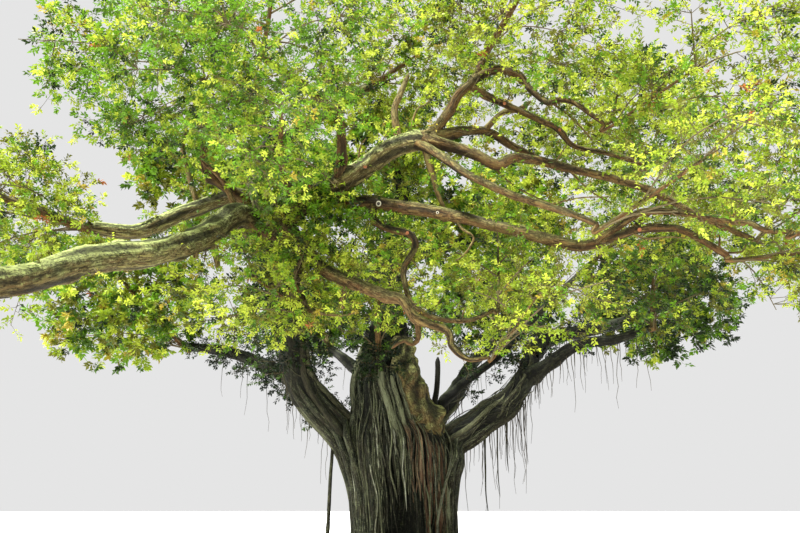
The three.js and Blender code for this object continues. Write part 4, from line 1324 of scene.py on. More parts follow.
def side_shoots(parents, count, span, length, splay, flatten, lift, bow, rng, steps):
    """Shoots that fork off each parent line in turn round it, longest near its foot."""
    jitter = rng.random((len(parents), count))
    shares = between(span, (np.arange(count) + jitter) / count)
    roots, along = on_lines(parents, shares)
    across = unit(np.cross(along, UP))
    above = np.cross(across, along)
    turn = (GOLDEN_TURN * np.arange(count) + 2 * math.pi * rng.random((len(parents), 1)))[..., None]
    lean = between(splay, rng.random((len(parents), count)))[..., None]
    outward = across * np.cos(turn) + above * np.sin(turn)
    heading = along * np.cos(lean) + outward * np.sin(lean)
    heading[..., 2] = heading[..., 2] * flatten + lift
    heading = unit(heading)
    longest, shorter = SHOOT_LENGTHS
    reach = length * (longest - shorter * shares) * rng.uniform(*SHOOT_SIZES, shares.shape)
    t = np.linspace(0, 1, steps)
    lines = roots[:, :, None] + heading[:, :, None] * (reach[..., None] * t)[..., None]
    lines[..., 2] += bow * reach[..., None] * (t - 1.6 * t * t)
    return lines.reshape(-1, steps, 3)


def even_places(mass, count, rng):
    """Places spread evenly through a mass's space, a little more crowded towards its skin."""
    draws = (rng.random(3) + np.arange(1, count + 1)[:, None] * EVEN_STEPS) % 1
    height = 2 * draws[:, 0] - 1
    level = np.sqrt(1 - height * height)
    around = 2 * math.pi * draws[:, 1]
    outward = np.stack([level * np.cos(around), level * np.sin(around), height], -1)
    reach = TWIG["reach"] * draws[:, 2:] ** TWIG["crowding"]
    return mass.middle + outward * reach * np.array((mass.spread, mass.spread, mass.depth))


def reaching_twigs(mass, lines, rng):
    """Twigs that reach from the boughlet nearest to each place, springing a little behind it."""
    share = TWIG["behind"] if mass.middle[1] > FAR_SIDE else 1
    ends = even_places(mass, round(TWIG["density"] * share * mass.spread**2 * mass.depth), rng)
    shares = np.linspace(*TWIG_SPAN, TWIG_PLACES) * np.ones((len(lines), 1))
    carriers = on_lines(lines, shares)[0].reshape(-1, 3)
    nearest = ((ends[:, None] - carriers[None]) ** 2).sum(-1).argmin(1)
    starts = carriers[np.where(nearest % TWIG_PLACES > 0, nearest - 1, nearest)]
    span = np.linalg.norm(ends - starts, axis=1, keepdims=True)
    middles = (starts + ends) / 2 + UP * TWIG["arch"] * span
    middles += rng.normal(0, 1, ends.shape) * TWIG["sway"] * span
    t = np.linspace(0, 1, TWIG["steps"])[None, :, None]
    return starts[:, None] * (1 - t) ** 2 + middles[:, None] * 2 * t * (1 - t) + ends[:, None] * t * t


def cross_directions(along):
    """Two directions square to each direction and to each other."""
    reference = np.where(np.abs(along[..., 2:]) > VERY_STEEP, SIDEWAYS, UP)
    side = unit(np.cross(along, reference))
    return side, np.cross(along, side)


def thin_tubes(lines, thick, sides=3):
    """Many thin tapering tubes at once, one along each line, as triangles."""
    count, steps = lines.shape[:2]
    side, across = cross_directions(unit(np.gradient(lines, axis=1)))
    radius = (between(thick, np.linspace(0, 1, steps)) / 2)[None, :, None, None]
    angles = (np.arange(sides) / sides * 2 * math.pi)[None, None, :, None]
    ring = (side[:, :, None] * np.cos(angles) + across[:, :, None] * np.sin(angles)) * radius
    places = (lines[:, :, None] + ring).reshape(-1, 3)
    squares = ring_faces(steps, sides)
    one = np.concatenate([squares[:, :3], squares[:, (0, 2, 3)]])
    faces = (one[None] + (np.arange(count) * steps * sides)[:, None, None]).reshape(-1, 3)
    return places, faces


def thin_spikes(lines, thick):
    """Many thin spikes at once, three-sided, from the foot of each line to its tip."""
    side, across = cross_directions(unit(lines[:, -1] - lines[:, 0]))
    corners = [
        lines[:, 0] + (side * math.cos(turn) + across * math.sin(turn)) * thick / 2
        for turn in (0, 2 * math.pi / 3, 4 * math.pi / 3)
    ]
    places = np.stack([*corners, lines[:, -1]], 1).reshape(-1, 3)
    faces = SPIKE_FACES[None] + (np.arange(len(lines)) * 4)[:, None, None]
    return places, faces.reshape(-1, 3)


def leaves_on(sprigs, size, rng):
    """Leaves set spirally along each sprig, in a tuft towards its tip."""
    count = LEAVES_ON_A_SPRIG
    shares = between(LEAF_SPAN, (np.arange(count) + 0.5) / count) * np.ones((len(sprigs), 1))
    roots, along = on_lines(sprigs, shares)
    side, above = cross_directions(along)
    turn = (GOLDEN_TURN * np.arange(count) + 2 * math.pi * rng.random((len(sprigs), 1)))[..., None]
    outward = side * np.cos(turn) + above * np.sin(turn)
    lean = LEAF_LEAN[0] - LEAF_LEAN[1] * shares
    lean = (lean + rng.uniform(-LEAN_VARIES, LEAN_VARIES, shares.shape))[..., None]
    heading = along * np.cos(lean) + outward * np.sin(lean)
    heading[..., 2] = heading[..., 2] * LEAF_FLATTEN - LEAF_DROOP
    heading = unit(heading).reshape(-1, 3)
    foot = roots.reshape(-1, 3)
    side = unit(np.cross(heading, UP + rng.normal(0, LEAF_TILT, heading.shape)))
    face = np.cross(side, heading)
    length = (size[0] * rng.uniform(*LEAF_SIZES, len(foot)))[:, None]
    width = length * size[1] / size[0]
    tip = foot + heading * length - face * length * LEAF_SHAPE["fall"]
    widest = foot + heading * length * LEAF_SHAPE["widest"] + face * width * LEAF_SHAPE["rise"]
    return np.stack([foot, widest + side * width / 2, tip, widest - side * width / 2], 1)


LEAF_FACES = np.array(((0, 2, 1), (0, 3, 2)))
SPIKE_FACES = np.array(((0, 1, 3), (1, 2, 3), (2, 0, 3)))


class Sight:
    """The viewer's sight of the bare limbs: how far off the last one is, cell by cell."""

    def __init__(self, limbs):
        rows, columns = (round(2 * VIEW_CELLS * half) for half in VIEW_HALF)
        self.last = np.zeros((rows, columns))
        for name, span in BARE_STRETCHES:
            limb = limbs[name]
            shares = np.linspace(*span, int(limb.length * (span[1] - span[0]) * BARE_PLACES))
            cells, far = self.cells(limb.curve.at(shares))
            radii = between(limb.thick, shares) / 2 / far * VIEW_CELLS * BARE_SHARE
            for (row, column), depth, radius in zip(cells, far, radii):
                self.mark(row, column, depth, max(radius, 1))
        for row, column, radius in OPENINGS:
            self.mark(row, column, -EYE[1], radius)

    def cells(self, points):
        """The cell that each point shows in, and how far off it is."""
        away = points - EYE
        far = away @ np.array((0, math.cos(PITCH), math.sin(PITCH)))
        up = (away @ np.array((0, -math.sin(PITCH), math.cos(PITCH)))) / far
        across = away[..., 0] / far
        cells = np.stack([VIEW_HALF[0] - up, VIEW_HALF[1] + across], -1) * VIEW_CELLS
        return cells.astype(int), far

    def mark(self, row, column, depth, radius):
        """Keeps the cells of a round clear of leaves nearer than this depth."""
        reach = math.ceil(radius)
        rows = slice(max(row - reach, 0), max(row + reach + 1, 0))
        columns = slice(max(column - reach, 0), max(column + reach + 1, 0))
        patch = self.last[rows, columns]
        if patch.size:
            i, j = np.indices(patch.shape)
            i, j = i + rows.start - row, j + columns.start - column
            inside = i**2 + j**2 <= radius**2
            patch[inside] = np.maximum(patch[inside], depth)

    def open(self, points, rng):
        """Which points don't stand before a bare limb. A few that do are kept."""
        cells, far = self.cells(points)
        seen = ((cells >= 0) & (cells < self.last.shape)).all(-1) & (far > 0)
        row, column = np.where(seen[:, None], cells, 0).T
        return ~(seen & (far < self.last[row, column])) | (rng.random(len(points)) < BEFORE_LIMBS)


class Growth:
    """Twigs with their sprigs, and leaves with their colours, for one node of the frame."""

    def __init__(self, node, twigs, kept, sight, palette, size, rng):
        twigs = twigs[kept(twigs[:, -1])]
        sprigs = side_shoots(twigs, SPRIGS_ON_A_TWIG, rng=rng, steps=2, **SPRIG)
        clumps = np.repeat(np.arange(len(twigs)), SPRIGS_ON_A_TWIG)
        clear = kept(sprigs[:, -1]) & sight.open(sprigs.mean(1), rng)
        sprigs, clumps = sprigs[clear], clumps[clear]
        odds = np.array([palette.get(name, 0) for name in LEAF_TONES], float)
        odds = odds / odds.sum()
        by_clump = rng.choice(len(odds), len(twigs), p=odds)[clumps]
        by_sprig = rng.choice(len(odds), len(sprigs), p=odds)
        colours = np.where(rng.random(len(sprigs)) < CLUMPED, by_clump, by_sprig)
        leaves = leaves_on(sprigs, size, rng)
        clear = kept(leaves[:, 2]) & sight.open(leaves.mean(1), rng)
        self.node, self.twigs, self.sprigs = node, twigs, sprigs
        self.leaves, self.colours = leaves[clear], np.repeat(colours, LEAVES_ON_A_SPRIG)[clear]


def limb_shoots(limb, span, count, length, rng):
    """Leafy shoots that spring from a stretch of a limb."""
    line = limb.curve.at(np.linspace(0, 1, SHOOT_PLACES))[None]
    return side_shoots(line, count, span, length, rng=rng, steps=3, **SHOOT)


# Tones of the leaves, and how much of each there is in the mixes that masses and shoots have
# The sunlit tone is painted sunlight, and the shadow tone is painted shade.
LEAF_TONES = ("sunlit", "lime", "fresh", "green", "deep", "olive", "gold", "russet", "shadow")
FRONT_MIX = dict(sunlit=4, lime=5, fresh=2, green=1.5, deep=1.2, olive=2.5, gold=0.4, russet=0.04)
NEAR_MIX = dict(sunlit=2, lime=3, fresh=6, green=3, deep=1, olive=0.6, gold=0.2, russet=0.02)
# Painted shade: leaves under the crown and round the trunk lean to the darkest tones
DEEP_SHADE_MIX = dict(green=1, deep=4, shadow=4)
# Painted shade: masses in the crown's shade lean to darker tones
SHADE_MIX = dict(sunlit=0.3, lime=1, fresh=1.5, green=3, deep=3, olive=1.5, gold=0.1, russet=0.02)
BACK_MIX = dict(sunlit=2, lime=3, fresh=2.5, green=2.5, deep=1, olive=2, gold=0.3, russet=0.03)
LEAF_MIXES = dict(
    front_high=NEAR_MIX, front_low=NEAR_MIX, rising_left=NEAR_MIX,
    right_near=SHADE_MIX, right_far=SHADE_MIX, back_bough=SHADE_MIX, back_right_bough=SHADE_MIX,
)
# Leafy stretches of limbs: limb, stretch, how many shoots, their length, colours, mass they go with
LEAFY_STRETCHES = (
    ("main_front", (0.0, 0.3), 30, 1.25, NEAR_MIX, "front_low"),
    ("left_bough", (0.8, 1.0), 12, 1.3, NEAR_MIX, "front_low"),
    ("high_centre", (0.02, 0.4), 12, 1.2, NEAR_MIX, "front_low"),
    ("front_low", (0.1, 1.0), 20, 1.4, NEAR_MIX, "front_low"),
    ("wide_right", (0.0, 0.1), 36, 0.95, NEAR_MIX, "front_low"),
    ("main_front", (0.26, 0.44), 26, 1.0, NEAR_MIX, "front_low"),
    ("kinked", (0.0, 0.2), 12, 0.7, NEAR_MIX, "front_low"),
    ("left_bough", (0.86, 1.0), 14, 1.2, NEAR_MIX, "front_low"),
    ("near_left", (0.0, 0.14), 8, 1.0, NEAR_MIX, "near_left"),
    ("far_left", (0.3, 0.75), 10, 1.2, FRONT_MIX, "far_left"),
    ("rising_left", (0.05, 0.6), 10, 1.2, NEAR_MIX, "rising_left"),
    ("front_high", (0.0, 0.5), 8, 1.1, NEAR_MIX, "front_high"),
    ("drooping", (0.0, 0.125), 8, 1.0, NEAR_MIX, "drooping"),
    ("drooping", (0.04, 0.3), 32, 1.1, FRONT_MIX, "drooping"),
    ("hanging_left", (0.1, 1.0), 22, 1.1, FRONT_MIX, "hanging_left"),
    ("near_left", (0.25, 0.9), 12, 1.2, FRONT_MIX, "near_left"),
    ("main_front", (0.55, 1.0), 7, 1.1, FRONT_MIX, "arch_limb"),
    ("arch_limb", (0.1, 0.9), 8, 1.2, FRONT_MIX, "arch_limb"),
    ("arch_lower", (0.1, 0.9), 9, 1.2, FRONT_MIX, "arch_lower"),
    ("twin_upper", (0.1, 0.9), 8, 1.1, FRONT_MIX, "arch_lower"),
    ("long_right", (0.1, 0.8), 10, 1.2, FRONT_MIX, "long_right"),
    ("lower_right", (0.15, 0.9), 9, 1.1, FRONT_MIX, "lower_right"),
    ("wide_right", (0.3, 0.95), 12, 1.1, FRONT_MIX, "wide_right"),
    ("drooping", (0.27, 1.0), 8, 0.8, FRONT_MIX, "drooping"),
    ("kinked", (0.3, 1.0), 5, 0.7, FRONT_MIX, "kinked"),
    ("left_bough", (0.3, 0.85), 44, 1.2, DEEP_SHADE_MIX, "trunk_front"),
    ("back_left_bough", (0.3, 0.9), 26, 1.2, DEEP_SHADE_MIX, "back_left_bough"),
    ("trunk_front", (0.0, 1.0), 14, 1.0, DEEP_SHADE_MIX, "trunk_front"),
    ("centre_stem", (0.0, 0.25), 14, 1.2, DEEP_SHADE_MIX, "trunk_front"),
    ("back_left_bough", (0.12, 0.5), 16, 1.2, DEEP_SHADE_MIX, "back_left_bough"),
    ("centre_stem", (0.1, 1.0), 8, 1.1, SHADE_MIX, "trunk_front"),
    ("top_bough", (0.0, 1.0), 40, 1.3, FRONT_MIX, "top_bough"),
    ("right_bough", (0.7, 1.0), 8, 1.0, DEEP_SHADE_MIX, "right_near"),
    ("right_far", (0.0, 0.5), 12, 1.1, DEEP_SHADE_MIX, "right_far"),
    ("diagonal", (0.2, 0.7), 10, 1.0, DEEP_SHADE_MIX, "diagonal"),
)
# Stretches of limbs that stand clear of leaves to the viewer. They are marked this many times a
# metre, over this share of their width, and this share of the leaves before them is kept.
BARE_STRETCHES = (
    ("main_front", (0.44, 1)), ("arch_limb", (0, 1)), ("arch_fall", (0, 1)), ("arch_lower", (0, 1)),
    ("twin_upper", (0, 1)), ("long_right", (0, 1)), ("lower_right", (0, 1)), ("wide_right", (0.1, 1)),
    ("right_tip", (0, 0.9)), ("kinked", (0.2, 1)), ("drooping", (0.22, 1)), ("hanging_left", (0.2, 1)),
    ("near_left", (0.12, 1)), ("far_left", (0.45, 1)),
)
BARE_PLACES = 30
BARE_SHARE = 0.85
BEFORE_LIMBS = 0.14
# Round openings under the front of the crown: row, column and radius in cells of the view
OPENINGS = (
    (380, 432, 18), (384, 456, 20), (381, 482, 20), (374, 506, 16), (394, 440, 20), (402, 470, 26),
    (392, 500, 22), (404, 345, 22), (420, 372, 10),
)
LEAF_PIECES = {
    "leaves_left": ("near_left", "far_left", "rising_left", "front_high", "back_left_bough"),
    "leaves_front": ("arch_limb", "arch_fall", "arch_lower", "high_centre", "long_right"),
    "leaves_low": (
        "lower_right", "wide_right", "right_tip", "drooping", "kinked", "hanging_left", "trunk_front",
        "front_low",
    ),
    "leaves_right": ("right_far", "right_near", "diagonal", "back_high_right"),
    "leaves_back": ("top_bough", "back_high_left", "back_bough", "back_right_bough"),
}


def scaled_size(size, share):
    """A leaf's length and width, both scaled by this share."""
    return size[0] * share, size[1] * share


def near_share(place):
    """How large a leaf is at a place near the viewer, as a share of its usual size."""
    return min(np.linalg.norm(place - EYE) / SMALLER_WITHIN, 1)


def mass_growths(limbs, skeleton, sight, size):
    """The growths of each mass, and the lines of all the boughlets."""
    growths, lines = {}, []
    for index, mass in enumerate(Mass(limb) for limb in limbs.values() if limb.crown):
        rng = np.random.default_rng(FOLIAGE_SEED + index)
        behind = mass.middle[1] > FAR_SIDE
        palette = LEAF_MIXES.get(mass.name, BACK_MIX if behind else FRONT_MIX)
        share = FAR_LEAVES if behind else near_share(mass.middle)
        forks = boughlets(mass, rng)
        lines.append(forks)

        def kept(points):
            return in_space(points, mass) & clear_of_limbs(points, skeleton)

        twigs = reaching_twigs(mass, forks, rng)
        node, scaled = "foliage_" + mass.name, scaled_size(size, share)
        growths[mass.name] = Growth(node, twigs, kept, sight, palette, scaled, rng)
    return growths, np.concatenate(lines)


def shoot_growths(limbs, skeleton, sight, size):
    """The growths of the leafy shoots."""

    def kept(points):
        return in_box(points) & clear_of_limbs(points, skeleton)

    growths = []
    for index, (name, span, count, length, palette, mass_name) in enumerate(LEAFY_STRETCHES):
        rng = np.random.default_rng(SHOOT_SEED + index)
        twigs = limb_shoots(limbs[name], span, count, length, rng)
        share = near_share(limbs[name].curve.at(sum(span) / 2))
        node, scaled = "foliage_" + mass_name, scaled_size(size, share)
        growths.append(Growth(node, twigs, kept, sight, palette, scaled, rng))
    return growths


def leaf_piece(name, growths, finishes):
    """All the leaves of some growths, with a finish for each tone."""
    leaves = np.concatenate([growth.leaves for growth in growths])
    colours = np.concatenate([growth.colours for growth in growths])
    starts = np.arange(len(leaves)) * leaves.shape[1]
    faces = (LEAF_FACES[None] + starts[:, None, None]).reshape(-1, 3)
    mesh = mesh_of(name, leaves.reshape(-1, 3), faces)
    piece = piece_of(name, mesh, finishes, sorted({growth.node for growth in growths}))
    materials = np.repeat(colours, len(LEAF_FACES)).astype(np.int32)
    mesh.polygons.foreach_set("material_index", materials)
    return piece


def twig_piece(growths, lines, finish):
    """The boughlets, and the twigs and sprigs of the growths."""
    parts = [thin_tubes(lines, BOUGHLET_THICK, sides=4)]
    for growth in growths:
        parts.append(thin_tubes(growth.twigs, TWIG_THICK))
        parts.append(thin_spikes(growth.sprigs, SPRIG_THICK))
    offsets = np.cumsum([0] + [len(places) for places, _ in parts[:-1]])
    faces = np.concatenate([faces + offset for (_, faces), offset in zip(parts, offsets)])
    mesh = mesh_of("twigs", np.concatenate([places for places, _ in parts]), faces)
    return piece_of("twigs", mesh, [finish], sorted({growth.node for growth in growths}))


def crown_stem(mass, rng):
    """The stem that a mass of foliage grows from."""
    tube = Tube(mass.stem, mass.thick, sides=8, spacing=0.18)
    add_lumps(tube, rng, depth=0.08, around=3, spacing=0.5)
    tube.taper_tip(length=0.5, least=0.15)
    return tube.shape()


# Stage. Each light has a heading and a climb in degrees, and a softness.
FLOOR_RADIUS = 300
FLOOR_SIDES = 96
SUN = dict(heading=-140, climb=56, softness=math.radians(5))
SIDE_LIGHT = dict(heading=-172, climb=14, softness=math.radians(20))
FRAME_WIDTH = 36
SIGHT_LIMIT = 1000


def stage_floor(colour):
    """A wide round floor at ground level, which isn't part of the tree."""
    angles = np.arange(FLOOR_SIDES) / FLOOR_SIDES * 2 * math.pi
    rim = np.stack([np.cos(angles), np.sin(angles), np.zeros(FLOOR_SIDES)], -1) * FLOOR_RADIUS
    mesh = mesh_of("floor", rim, np.arange(FLOOR_SIDES)[None, :])
    mesh.materials.append(plain_finish("pale_floor", colour, roughness=0.9))
    floor = bpy.data.objects.new("floor", mesh)
    bpy.context.scene.collection.objects.link(floor)


def sun_lamp(name, heading, climb, strength, softness):
    """Light from far off, out of a heading and a climb in degrees."""
    lamp = bpy.data.lights.new(name, "SUN")
    lamp.energy, lamp.angle = strength, softness
    holder = bpy.data.objects.new(name, lamp)
    holder.rotation_euler = (math.radians(90 - climb), 0, math.radians(heading + 90))
    bpy.context.scene.collection.objects.link(holder)


def pale_world(colour, strength):
    """Even light from all round."""
    world = bpy.data.worlds.new("pale_world")
    world.use_nodes = True
    background = world.node_tree.nodes["Background"]
    background.inputs["Color"].default_value = (*colour, 1)
    background.inputs["Strength"].default_value = strength
    bpy.context.scene.world = world


def photo_camera(place, pitch, lens):
    """A camera that looks along +Y and up by its pitch."""
    camera = bpy.data.cameras.new("camera")
    camera.lens, camera.sensor_width, camera.clip_end = lens, FRAME_WIDTH, SIGHT_LIMIT
    holder = bpy.data.objects.new("camera", camera)
    holder.location = place
    holder.rotation_euler = (math.pi / 2 + pitch, 0, 0)
    bpy.context.scene.collection.objects.link(holder)
    bpy.context.scene.camera = holder


# The colours of each bark, in the order of BARK_COLOURS
# The crack colour serves both the bark's fissures and the painted shade in the clefts.
BARK_COLOURS = ("bark", "dark", "light", "red", "lichen", "crack_and_shade")
BARKS = dict(
    columns=((50, 54, 38), (12, 14, 10), (150, 154, 118), (64, 50, 36), (80, 88, 55), (4, 5, 3)),
    flutes=((104, 86, 62), (52, 40, 29), (152, 134, 104), (108, 74, 54), (98, 96, 62), (10, 8, 6)),
    thin_roots=(
        (138, 138, 112), (70, 72, 54), (206, 208, 184), (112, 100, 74), (146, 150, 112), (20, 20, 15),
    ),
    pale_stem=((114, 112, 62), (40, 38, 22), (184, 186, 124), (96, 72, 42), (140, 146, 80), (14, 13, 8)),
    thick_limbs=(
        (110, 112, 62), (46, 46, 27), (184, 186, 130), (116, 86, 50), (154, 164, 98), (14, 13, 8),
    ),
    slender_limbs=(
        (94, 84, 46), (44, 38, 21), (152, 144, 92), (118, 76, 43), (118, 122, 66), (18, 15, 9),
    ),
    # Painted shade: a darker copy of the limbs' bark, for limbs in the crown's shade
    shaded_limbs=((36, 37, 26), (14, 15, 10), (78, 82, 60), (38, 32, 22), (58, 64, 41), (4, 4, 3)),
    aerial_roots=((62, 62, 44), (24, 25, 17), (114, 116, 84), (60, 50, 36), (88, 94, 62), (6, 7, 5)),
)
FREE_ROOT_COLOUR = tone(58, 50, 34)
TWIG_COLOUR = tone(84, 72, 40)
CUT_WOOD_COLOUR = tone(138, 82, 46)
RING_SCAR_COLOUR = tone(168, 162, 138)
SCAR_MIDDLE_COLOUR = tone(40, 34, 26)


def bark_colours(barks, name):
    """All the colours of a bark. The property group holds the colour that most of it shows."""
    colours = {part: tone(*colour) for part, colour in zip(BARK_COLOURS, BARKS[name])}
    return dict(colours, bark=tuple(getattr(barks, name)))


def colour_property(name, description, *screen_colour):
    """A colour that the user can change. Its default is given as it shows on a screen."""
    return bpy.props.FloatVectorProperty(
        name=name, description=description, subtype="COLOR", default=tone(*screen_colour),
    )


class BanyanBark(bpy.types.PropertyGroup):
    """The colour that shows most on each kind of bark."""

    columns: colour_property("Columns", "Roots fused to the trunk", *BARKS["columns"][0])
    flutes: colour_property("Flutes", "Flutes on the trunk's right side", *BARKS["flutes"][0])
    thin_roots: colour_property("Thin roots", "Pale roots down the trunk", *BARKS["thin_roots"][0])
    pale_stem: colour_property("Pale stem", "Leaning stem over the trunk", *BARKS["pale_stem"][0])
    thick_limbs: colour_property("Thick limbs", "Limbs in the light", *BARKS["thick_limbs"][0])
    slender_limbs: colour_property(
        "Slender limbs", "Slender limbs and small branches", *BARKS["slender_limbs"][0],
    )
    # Painted shade: the darker bark of limbs in the crown's shade
    shaded_limbs: colour_property("Shaded limbs", "Limbs under the crown", *BARKS["shaded_limbs"][0])
    aerial_roots: colour_property(
        "Aerial roots", "Hanging roots and those grown onto boughs", *BARKS["aerial_roots"][0],
    )


class BanyanLeaves(bpy.types.PropertyGroup):
    """Size and colours of the leaves."""

    # Painted sunlight: the palest tone stands for leaves in full sun
    sunlit: colour_property("Sunlit", "Palest leaves, full in the sun", 176, 188, 60)
    lime: colour_property("Lime", "Yellowish green leaves", 130, 150, 32)
    fresh: colour_property("Fresh", "Bright green leaves", 96, 136, 24)
    green: colour_property("Green", "Plain green leaves", 62, 90, 18)
    deep: colour_property("Deep", "Dark green leaves", 30, 46, 14)
    olive: colour_property("Olive", "Brownish green leaves", 96, 98, 24)
    gold: colour_property("Gold", "Leaves that turn yellow", 156, 140, 44)
    russet: colour_property("Russet", "Leaves that turn brown", 150, 88, 40)
    # Painted shade: the darkest tone stands for leaves in the crown's shade
    shadow: colour_property("Shadow", "Darkest leaves, inside the crown", 16, 28, 13)
    length: bpy.props.FloatProperty(
        name="Length", description="Length of a leaf", unit="LENGTH", default=0.128, min=0.02,
    )
    width: bpy.props.FloatProperty(
        name="Width", description="Width of a leaf", unit="LENGTH", default=0.064, min=0.01,
    )
    through: bpy.props.FloatProperty(
        name="Light through", description="Share of the light that comes through a leaf",
        subtype="FACTOR", default=0.34, min=0, max=1,
    )


class BanyanStage(bpy.types.PropertyGroup):
    """Floor, light and camera."""

    floor: colour_property("Floor", "Colour of the floor", 225, 225, 222)
    sky: colour_property("Sky", "Colour of the soft light all round", 250, 250, 250)
    sky_strength: bpy.props.FloatProperty(
        name="Sky strength", description="Strength of the soft light all round", default=0.82, min=0,
    )
    sun_strength: bpy.props.FloatProperty(
        name="Sun strength", description="Strength of the soft light from above", default=16.0, min=0,
    )
    side_strength: bpy.props.FloatProperty(
        name="Side light", description="Strength of the low light from the left", default=1.0, min=0,
    )
    eye_height: bpy.props.FloatProperty(
        name="Eye height", description="Height of the camera", unit="LENGTH", default=EYE[2],
    )
    distance: bpy.props.FloatProperty(
        name="Distance", description="From the trunk to the camera", unit="LENGTH", default=-EYE[1],
    )
    pitch: bpy.props.FloatProperty(
        name="Pitch", description="How far the camera looks up", unit="ROTATION", default=PITCH,
    )
    lens: bpy.props.FloatProperty(
        name="Lens", description="Focal length on a 36 mm frame", unit="CAMERA", default=33.75,
    )


class MakeTrunk(bpy.types.Operator):
    """Makes the trunk and the pale stem that leans over its shoulder"""

    bl_idname = "object.banyan_trunk"
    bl_label = "Trunk"

    def execute(self, context):
        barks = context.scene.banyan_bark
        rng = np.random.default_rng(TRUNK_SEED)
        column = bark_finish(
            "column_bark", bark_colours(barks, "columns"), lichen=0.3, redness=0.25, stretch=0.12,
        )
        flute = bark_finish(
            "flute_bark", bark_colours(barks, "flutes"), lichen=0.2, redness=0.6, stretch=0.12,
        )
        pale = bark_finish(
            "pale_bark", bark_colours(barks, "pale_stem"), lichen=0.5, redness=0.6, stretch=0.5,
            relief=0.06,
        )
        thin = bark_finish("thin_root_bark", bark_colours(barks, "thin_roots"), lichen=0.3, redness=0.2)
        finishes = dict(trunk_columns=column, trunk_strands=column, trunk_flutes=flute, pale_roots=thin)
        bark_piece("trunk_core", trunk_core(rng), column, ["trunk"])
        for name, groups in TRUNK_ROOTS.items():
            shapes = [shape for group in groups for shape in root_group(rng, *group)]
            if name == "pale_roots":
                shapes.append(slanted_root(rng))
            bark_piece(name, joined(shapes), finishes[name], ["trunk"])
        bark_piece("leaning_stem", leaning_stem(rng), pale, ["trunk"])
        merging = joined(merging_roots(grown_limbs(), rng))
        nodes = ["trunk", *sorted({row[0] for row in MERGING_ROOTS})]
        bark_piece("merging_roots", merging, column, nodes)
        return {"FINISHED"}


class MakeLimbs(bpy.types.Operator):
    """Makes the bark of every limb"""

    bl_idname = "object.banyan_limbs"
    bl_label = "Limbs"

    def execute(self, context):
        barks = context.scene.banyan_bark
        limbs = grown_limbs()
        thick = bark_finish(
            "limb_bark", bark_colours(barks, "thick_limbs"), lichen=0.8, redness=0.4, relief=0.05,
        )
        slender = bark_finish(
            "slender_bark", bark_colours(barks, "slender_limbs"), lichen=0.6, redness=0.4, relief=0.05,
        )
        # Painted shade: limbs in the crown's shade take a darker copy of the bark
        shaded = bark_finish("shaded_bark", bark_colours(barks, "shaded_limbs"), lichen=0.5, redness=0.3)
        for index, limb in enumerate(limbs.values()):
            rng = np.random.default_rng(LIMB_SEED + index)
            if limb.name in SHADED_LIMBS:
                finish = shaded
            else:
                finish = thick if max(limb.thick) > SLENDER else slender
            node = FUSED_LIMBS.get(limb.name, limb.name)
            bark_piece("bark_" + limb.name, limb_shape(limb, limbs, rng), finish, [node])
        branches, dark_branches, wood = small_branches(limbs)
        pale, dark, fresh = scars(limbs)
        carriers = sorted({FUSED_LIMBS.get(row[0], row[0]) for row in SMALL_BRANCHES + SCARS})
        bark_piece("small_branches", branches, slender, carriers)
        bark_piece("dark_branches", dark_branches, shaded, carriers)
        rounds = dict(
            cut_wood=(wood + fresh, CUT_WOOD_COLOUR), ring_scars=(pale, RING_SCAR_COLOUR),
            scar_middles=(dark, SCAR_MIDDLE_COLOUR),
        )
        for name, (shapes, colour) in rounds.items():
            finish = plain_finish(name, colour, roughness=0.8)
            bark_piece(name, joined(shapes), finish, carriers)
        return {"FINISHED"}


class MakeRoots(bpy.types.Operator):
    """Makes the aerial roots and the roots grown onto the boughs"""

    bl_idname = "object.banyan_roots"
    bl_label = "Aerial roots"

    def execute(self, context):
        limbs = grown_limbs()
        colours = bark_colours(context.scene.banyan_bark, "aerial_roots")
        finish = bark_finish("root_bark", colours, lichen=0.4, redness=0.3)
        for index, (name, spec) in enumerate(ROOTS.items()):
            rng = np.random.default_rng(ROOT_SHAPE_SEED + index)
            bark_piece("bark_" + name, root_shape(spec, index, limbs, rng), finish, [name])
        rng = np.random.default_rng(ROOT_SHAPE_SEED)
        boughs = sorted({row[0] for row in BOUGH_ROOTS})
        grown = joined(roots_on_boughs(limbs, rng))
        bark_piece("bough_roots", grown, finish, boughs)
        lines = free_roots(limbs, rng)
        mesh = mesh_of("free_roots", *thin_tubes(lines, FREE_THICK))
        hung = sorted({row[0] for row in FREE_ROOTS})
        fine = plain_finish("free_root", FREE_ROOT_COLOUR, roughness=0.9)
        piece_of("free_roots", mesh, [fine], hung)
        return {"FINISHED"}


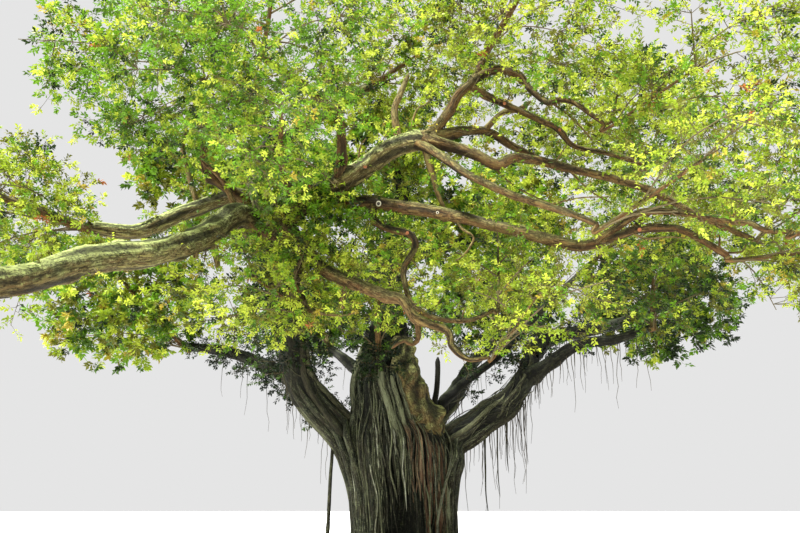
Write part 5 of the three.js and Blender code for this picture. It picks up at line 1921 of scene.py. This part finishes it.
class MakeFoliage(bpy.types.Operator):
    """Makes the twigs and the leaves"""

    bl_idname = "object.banyan_foliage"
    bl_label = "Twigs and leaves"

    def execute(self, context):
        look = context.scene.banyan_leaves
        limbs = grown_limbs()
        skeleton = np.concatenate([bones(limb.curve, limb.thick) for limb in limbs.values()])
        given = (limbs, skeleton, Sight(limbs), (look.length, look.width))
        growths, lines = mass_growths(*given)
        shoots = shoot_growths(*given)
        finishes = [leaf_finish("leaf_" + name, getattr(look, name), look.through) for name in LEAF_TONES]
        for name, masses in LEAF_PIECES.items():
            leaf_piece(name, [growths[mass] for mass in masses], finishes)
        leaf_piece("leaves_shoots", shoots, finishes)
        twig = plain_finish("twig_bark", TWIG_COLOUR, roughness=0.85)
        twig_piece([*growths.values(), *shoots], lines, twig)
        masses = [Mass(limb) for limb in limbs.values() if limb.crown]
        stems = [
            crown_stem(mass, np.random.default_rng(STEM_SEED + index)) for index, mass in enumerate(masses)
        ]
        colours = bark_colours(context.scene.banyan_bark, "slender_limbs")
        finish = bark_finish("stem_bark", colours, lichen=0.45, redness=0.5)
        nodes = ["foliage_" + mass.name for mass in masses]
        bark_piece("crown_stems", joined(stems), finish, nodes)
        return {"FINISHED"}


class MakeStage(bpy.types.Operator):
    """Makes the floor, the light and the camera"""

    bl_idname = "object.banyan_stage"
    bl_label = "Stage"

    def execute(self, context):
        look = context.scene.banyan_stage
        stage_floor(look.floor)
        pale_world(look.sky, look.sky_strength)
        sun_lamp("soft_sun", strength=look.sun_strength, **SUN)
        sun_lamp("side_light", strength=look.side_strength, **SIDE_LIGHT)
        photo_camera((0, -look.distance, look.eye_height), look.pitch, look.lens)
        context.scene.view_settings.view_transform = "Standard"
        return {"FINISHED"}


class BanyanPanel(bpy.types.Panel):
    """Lists the pieces that can be made"""

    bl_idname = "VIEW3D_PT_banyan"
    bl_label = "Banyan tree"
    bl_space_type = "VIEW_3D"
    bl_region_type = "UI"
    bl_category = "Banyan"

    def draw(self, context):
        for operator in OPERATORS:
            self.layout.operator(operator.bl_idname)
        for group in (context.scene.banyan_bark, context.scene.banyan_leaves, context.scene.banyan_stage):
            for name in group.__annotations__:
                self.layout.prop(group, name)


GROUPS = {"banyan_bark": BanyanBark, "banyan_leaves": BanyanLeaves, "banyan_stage": BanyanStage}
OPERATORS = (MakeTrunk, MakeLimbs, MakeRoots, MakeFoliage, MakeStage)


def register():
    for kind in (*GROUPS.values(), *OPERATORS, BanyanPanel):
        bpy.utils.register_class(kind)
    for name, kind in GROUPS.items():
        setattr(bpy.types.Scene, name, bpy.props.PointerProperty(type=kind))


def unregister():
    for name in GROUPS:
        delattr(bpy.types.Scene, name)
    for kind in (BanyanPanel, *OPERATORS[::-1], *GROUPS.values()):
        bpy.utils.unregister_class(kind)


def main():
    register()
    bpy.ops.object.banyan_trunk()
    bpy.ops.object.banyan_limbs()
    bpy.ops.object.banyan_roots()
    bpy.ops.object.banyan_foliage()
    bpy.ops.object.banyan_stage()


if __name__ == "__main__":
    main()
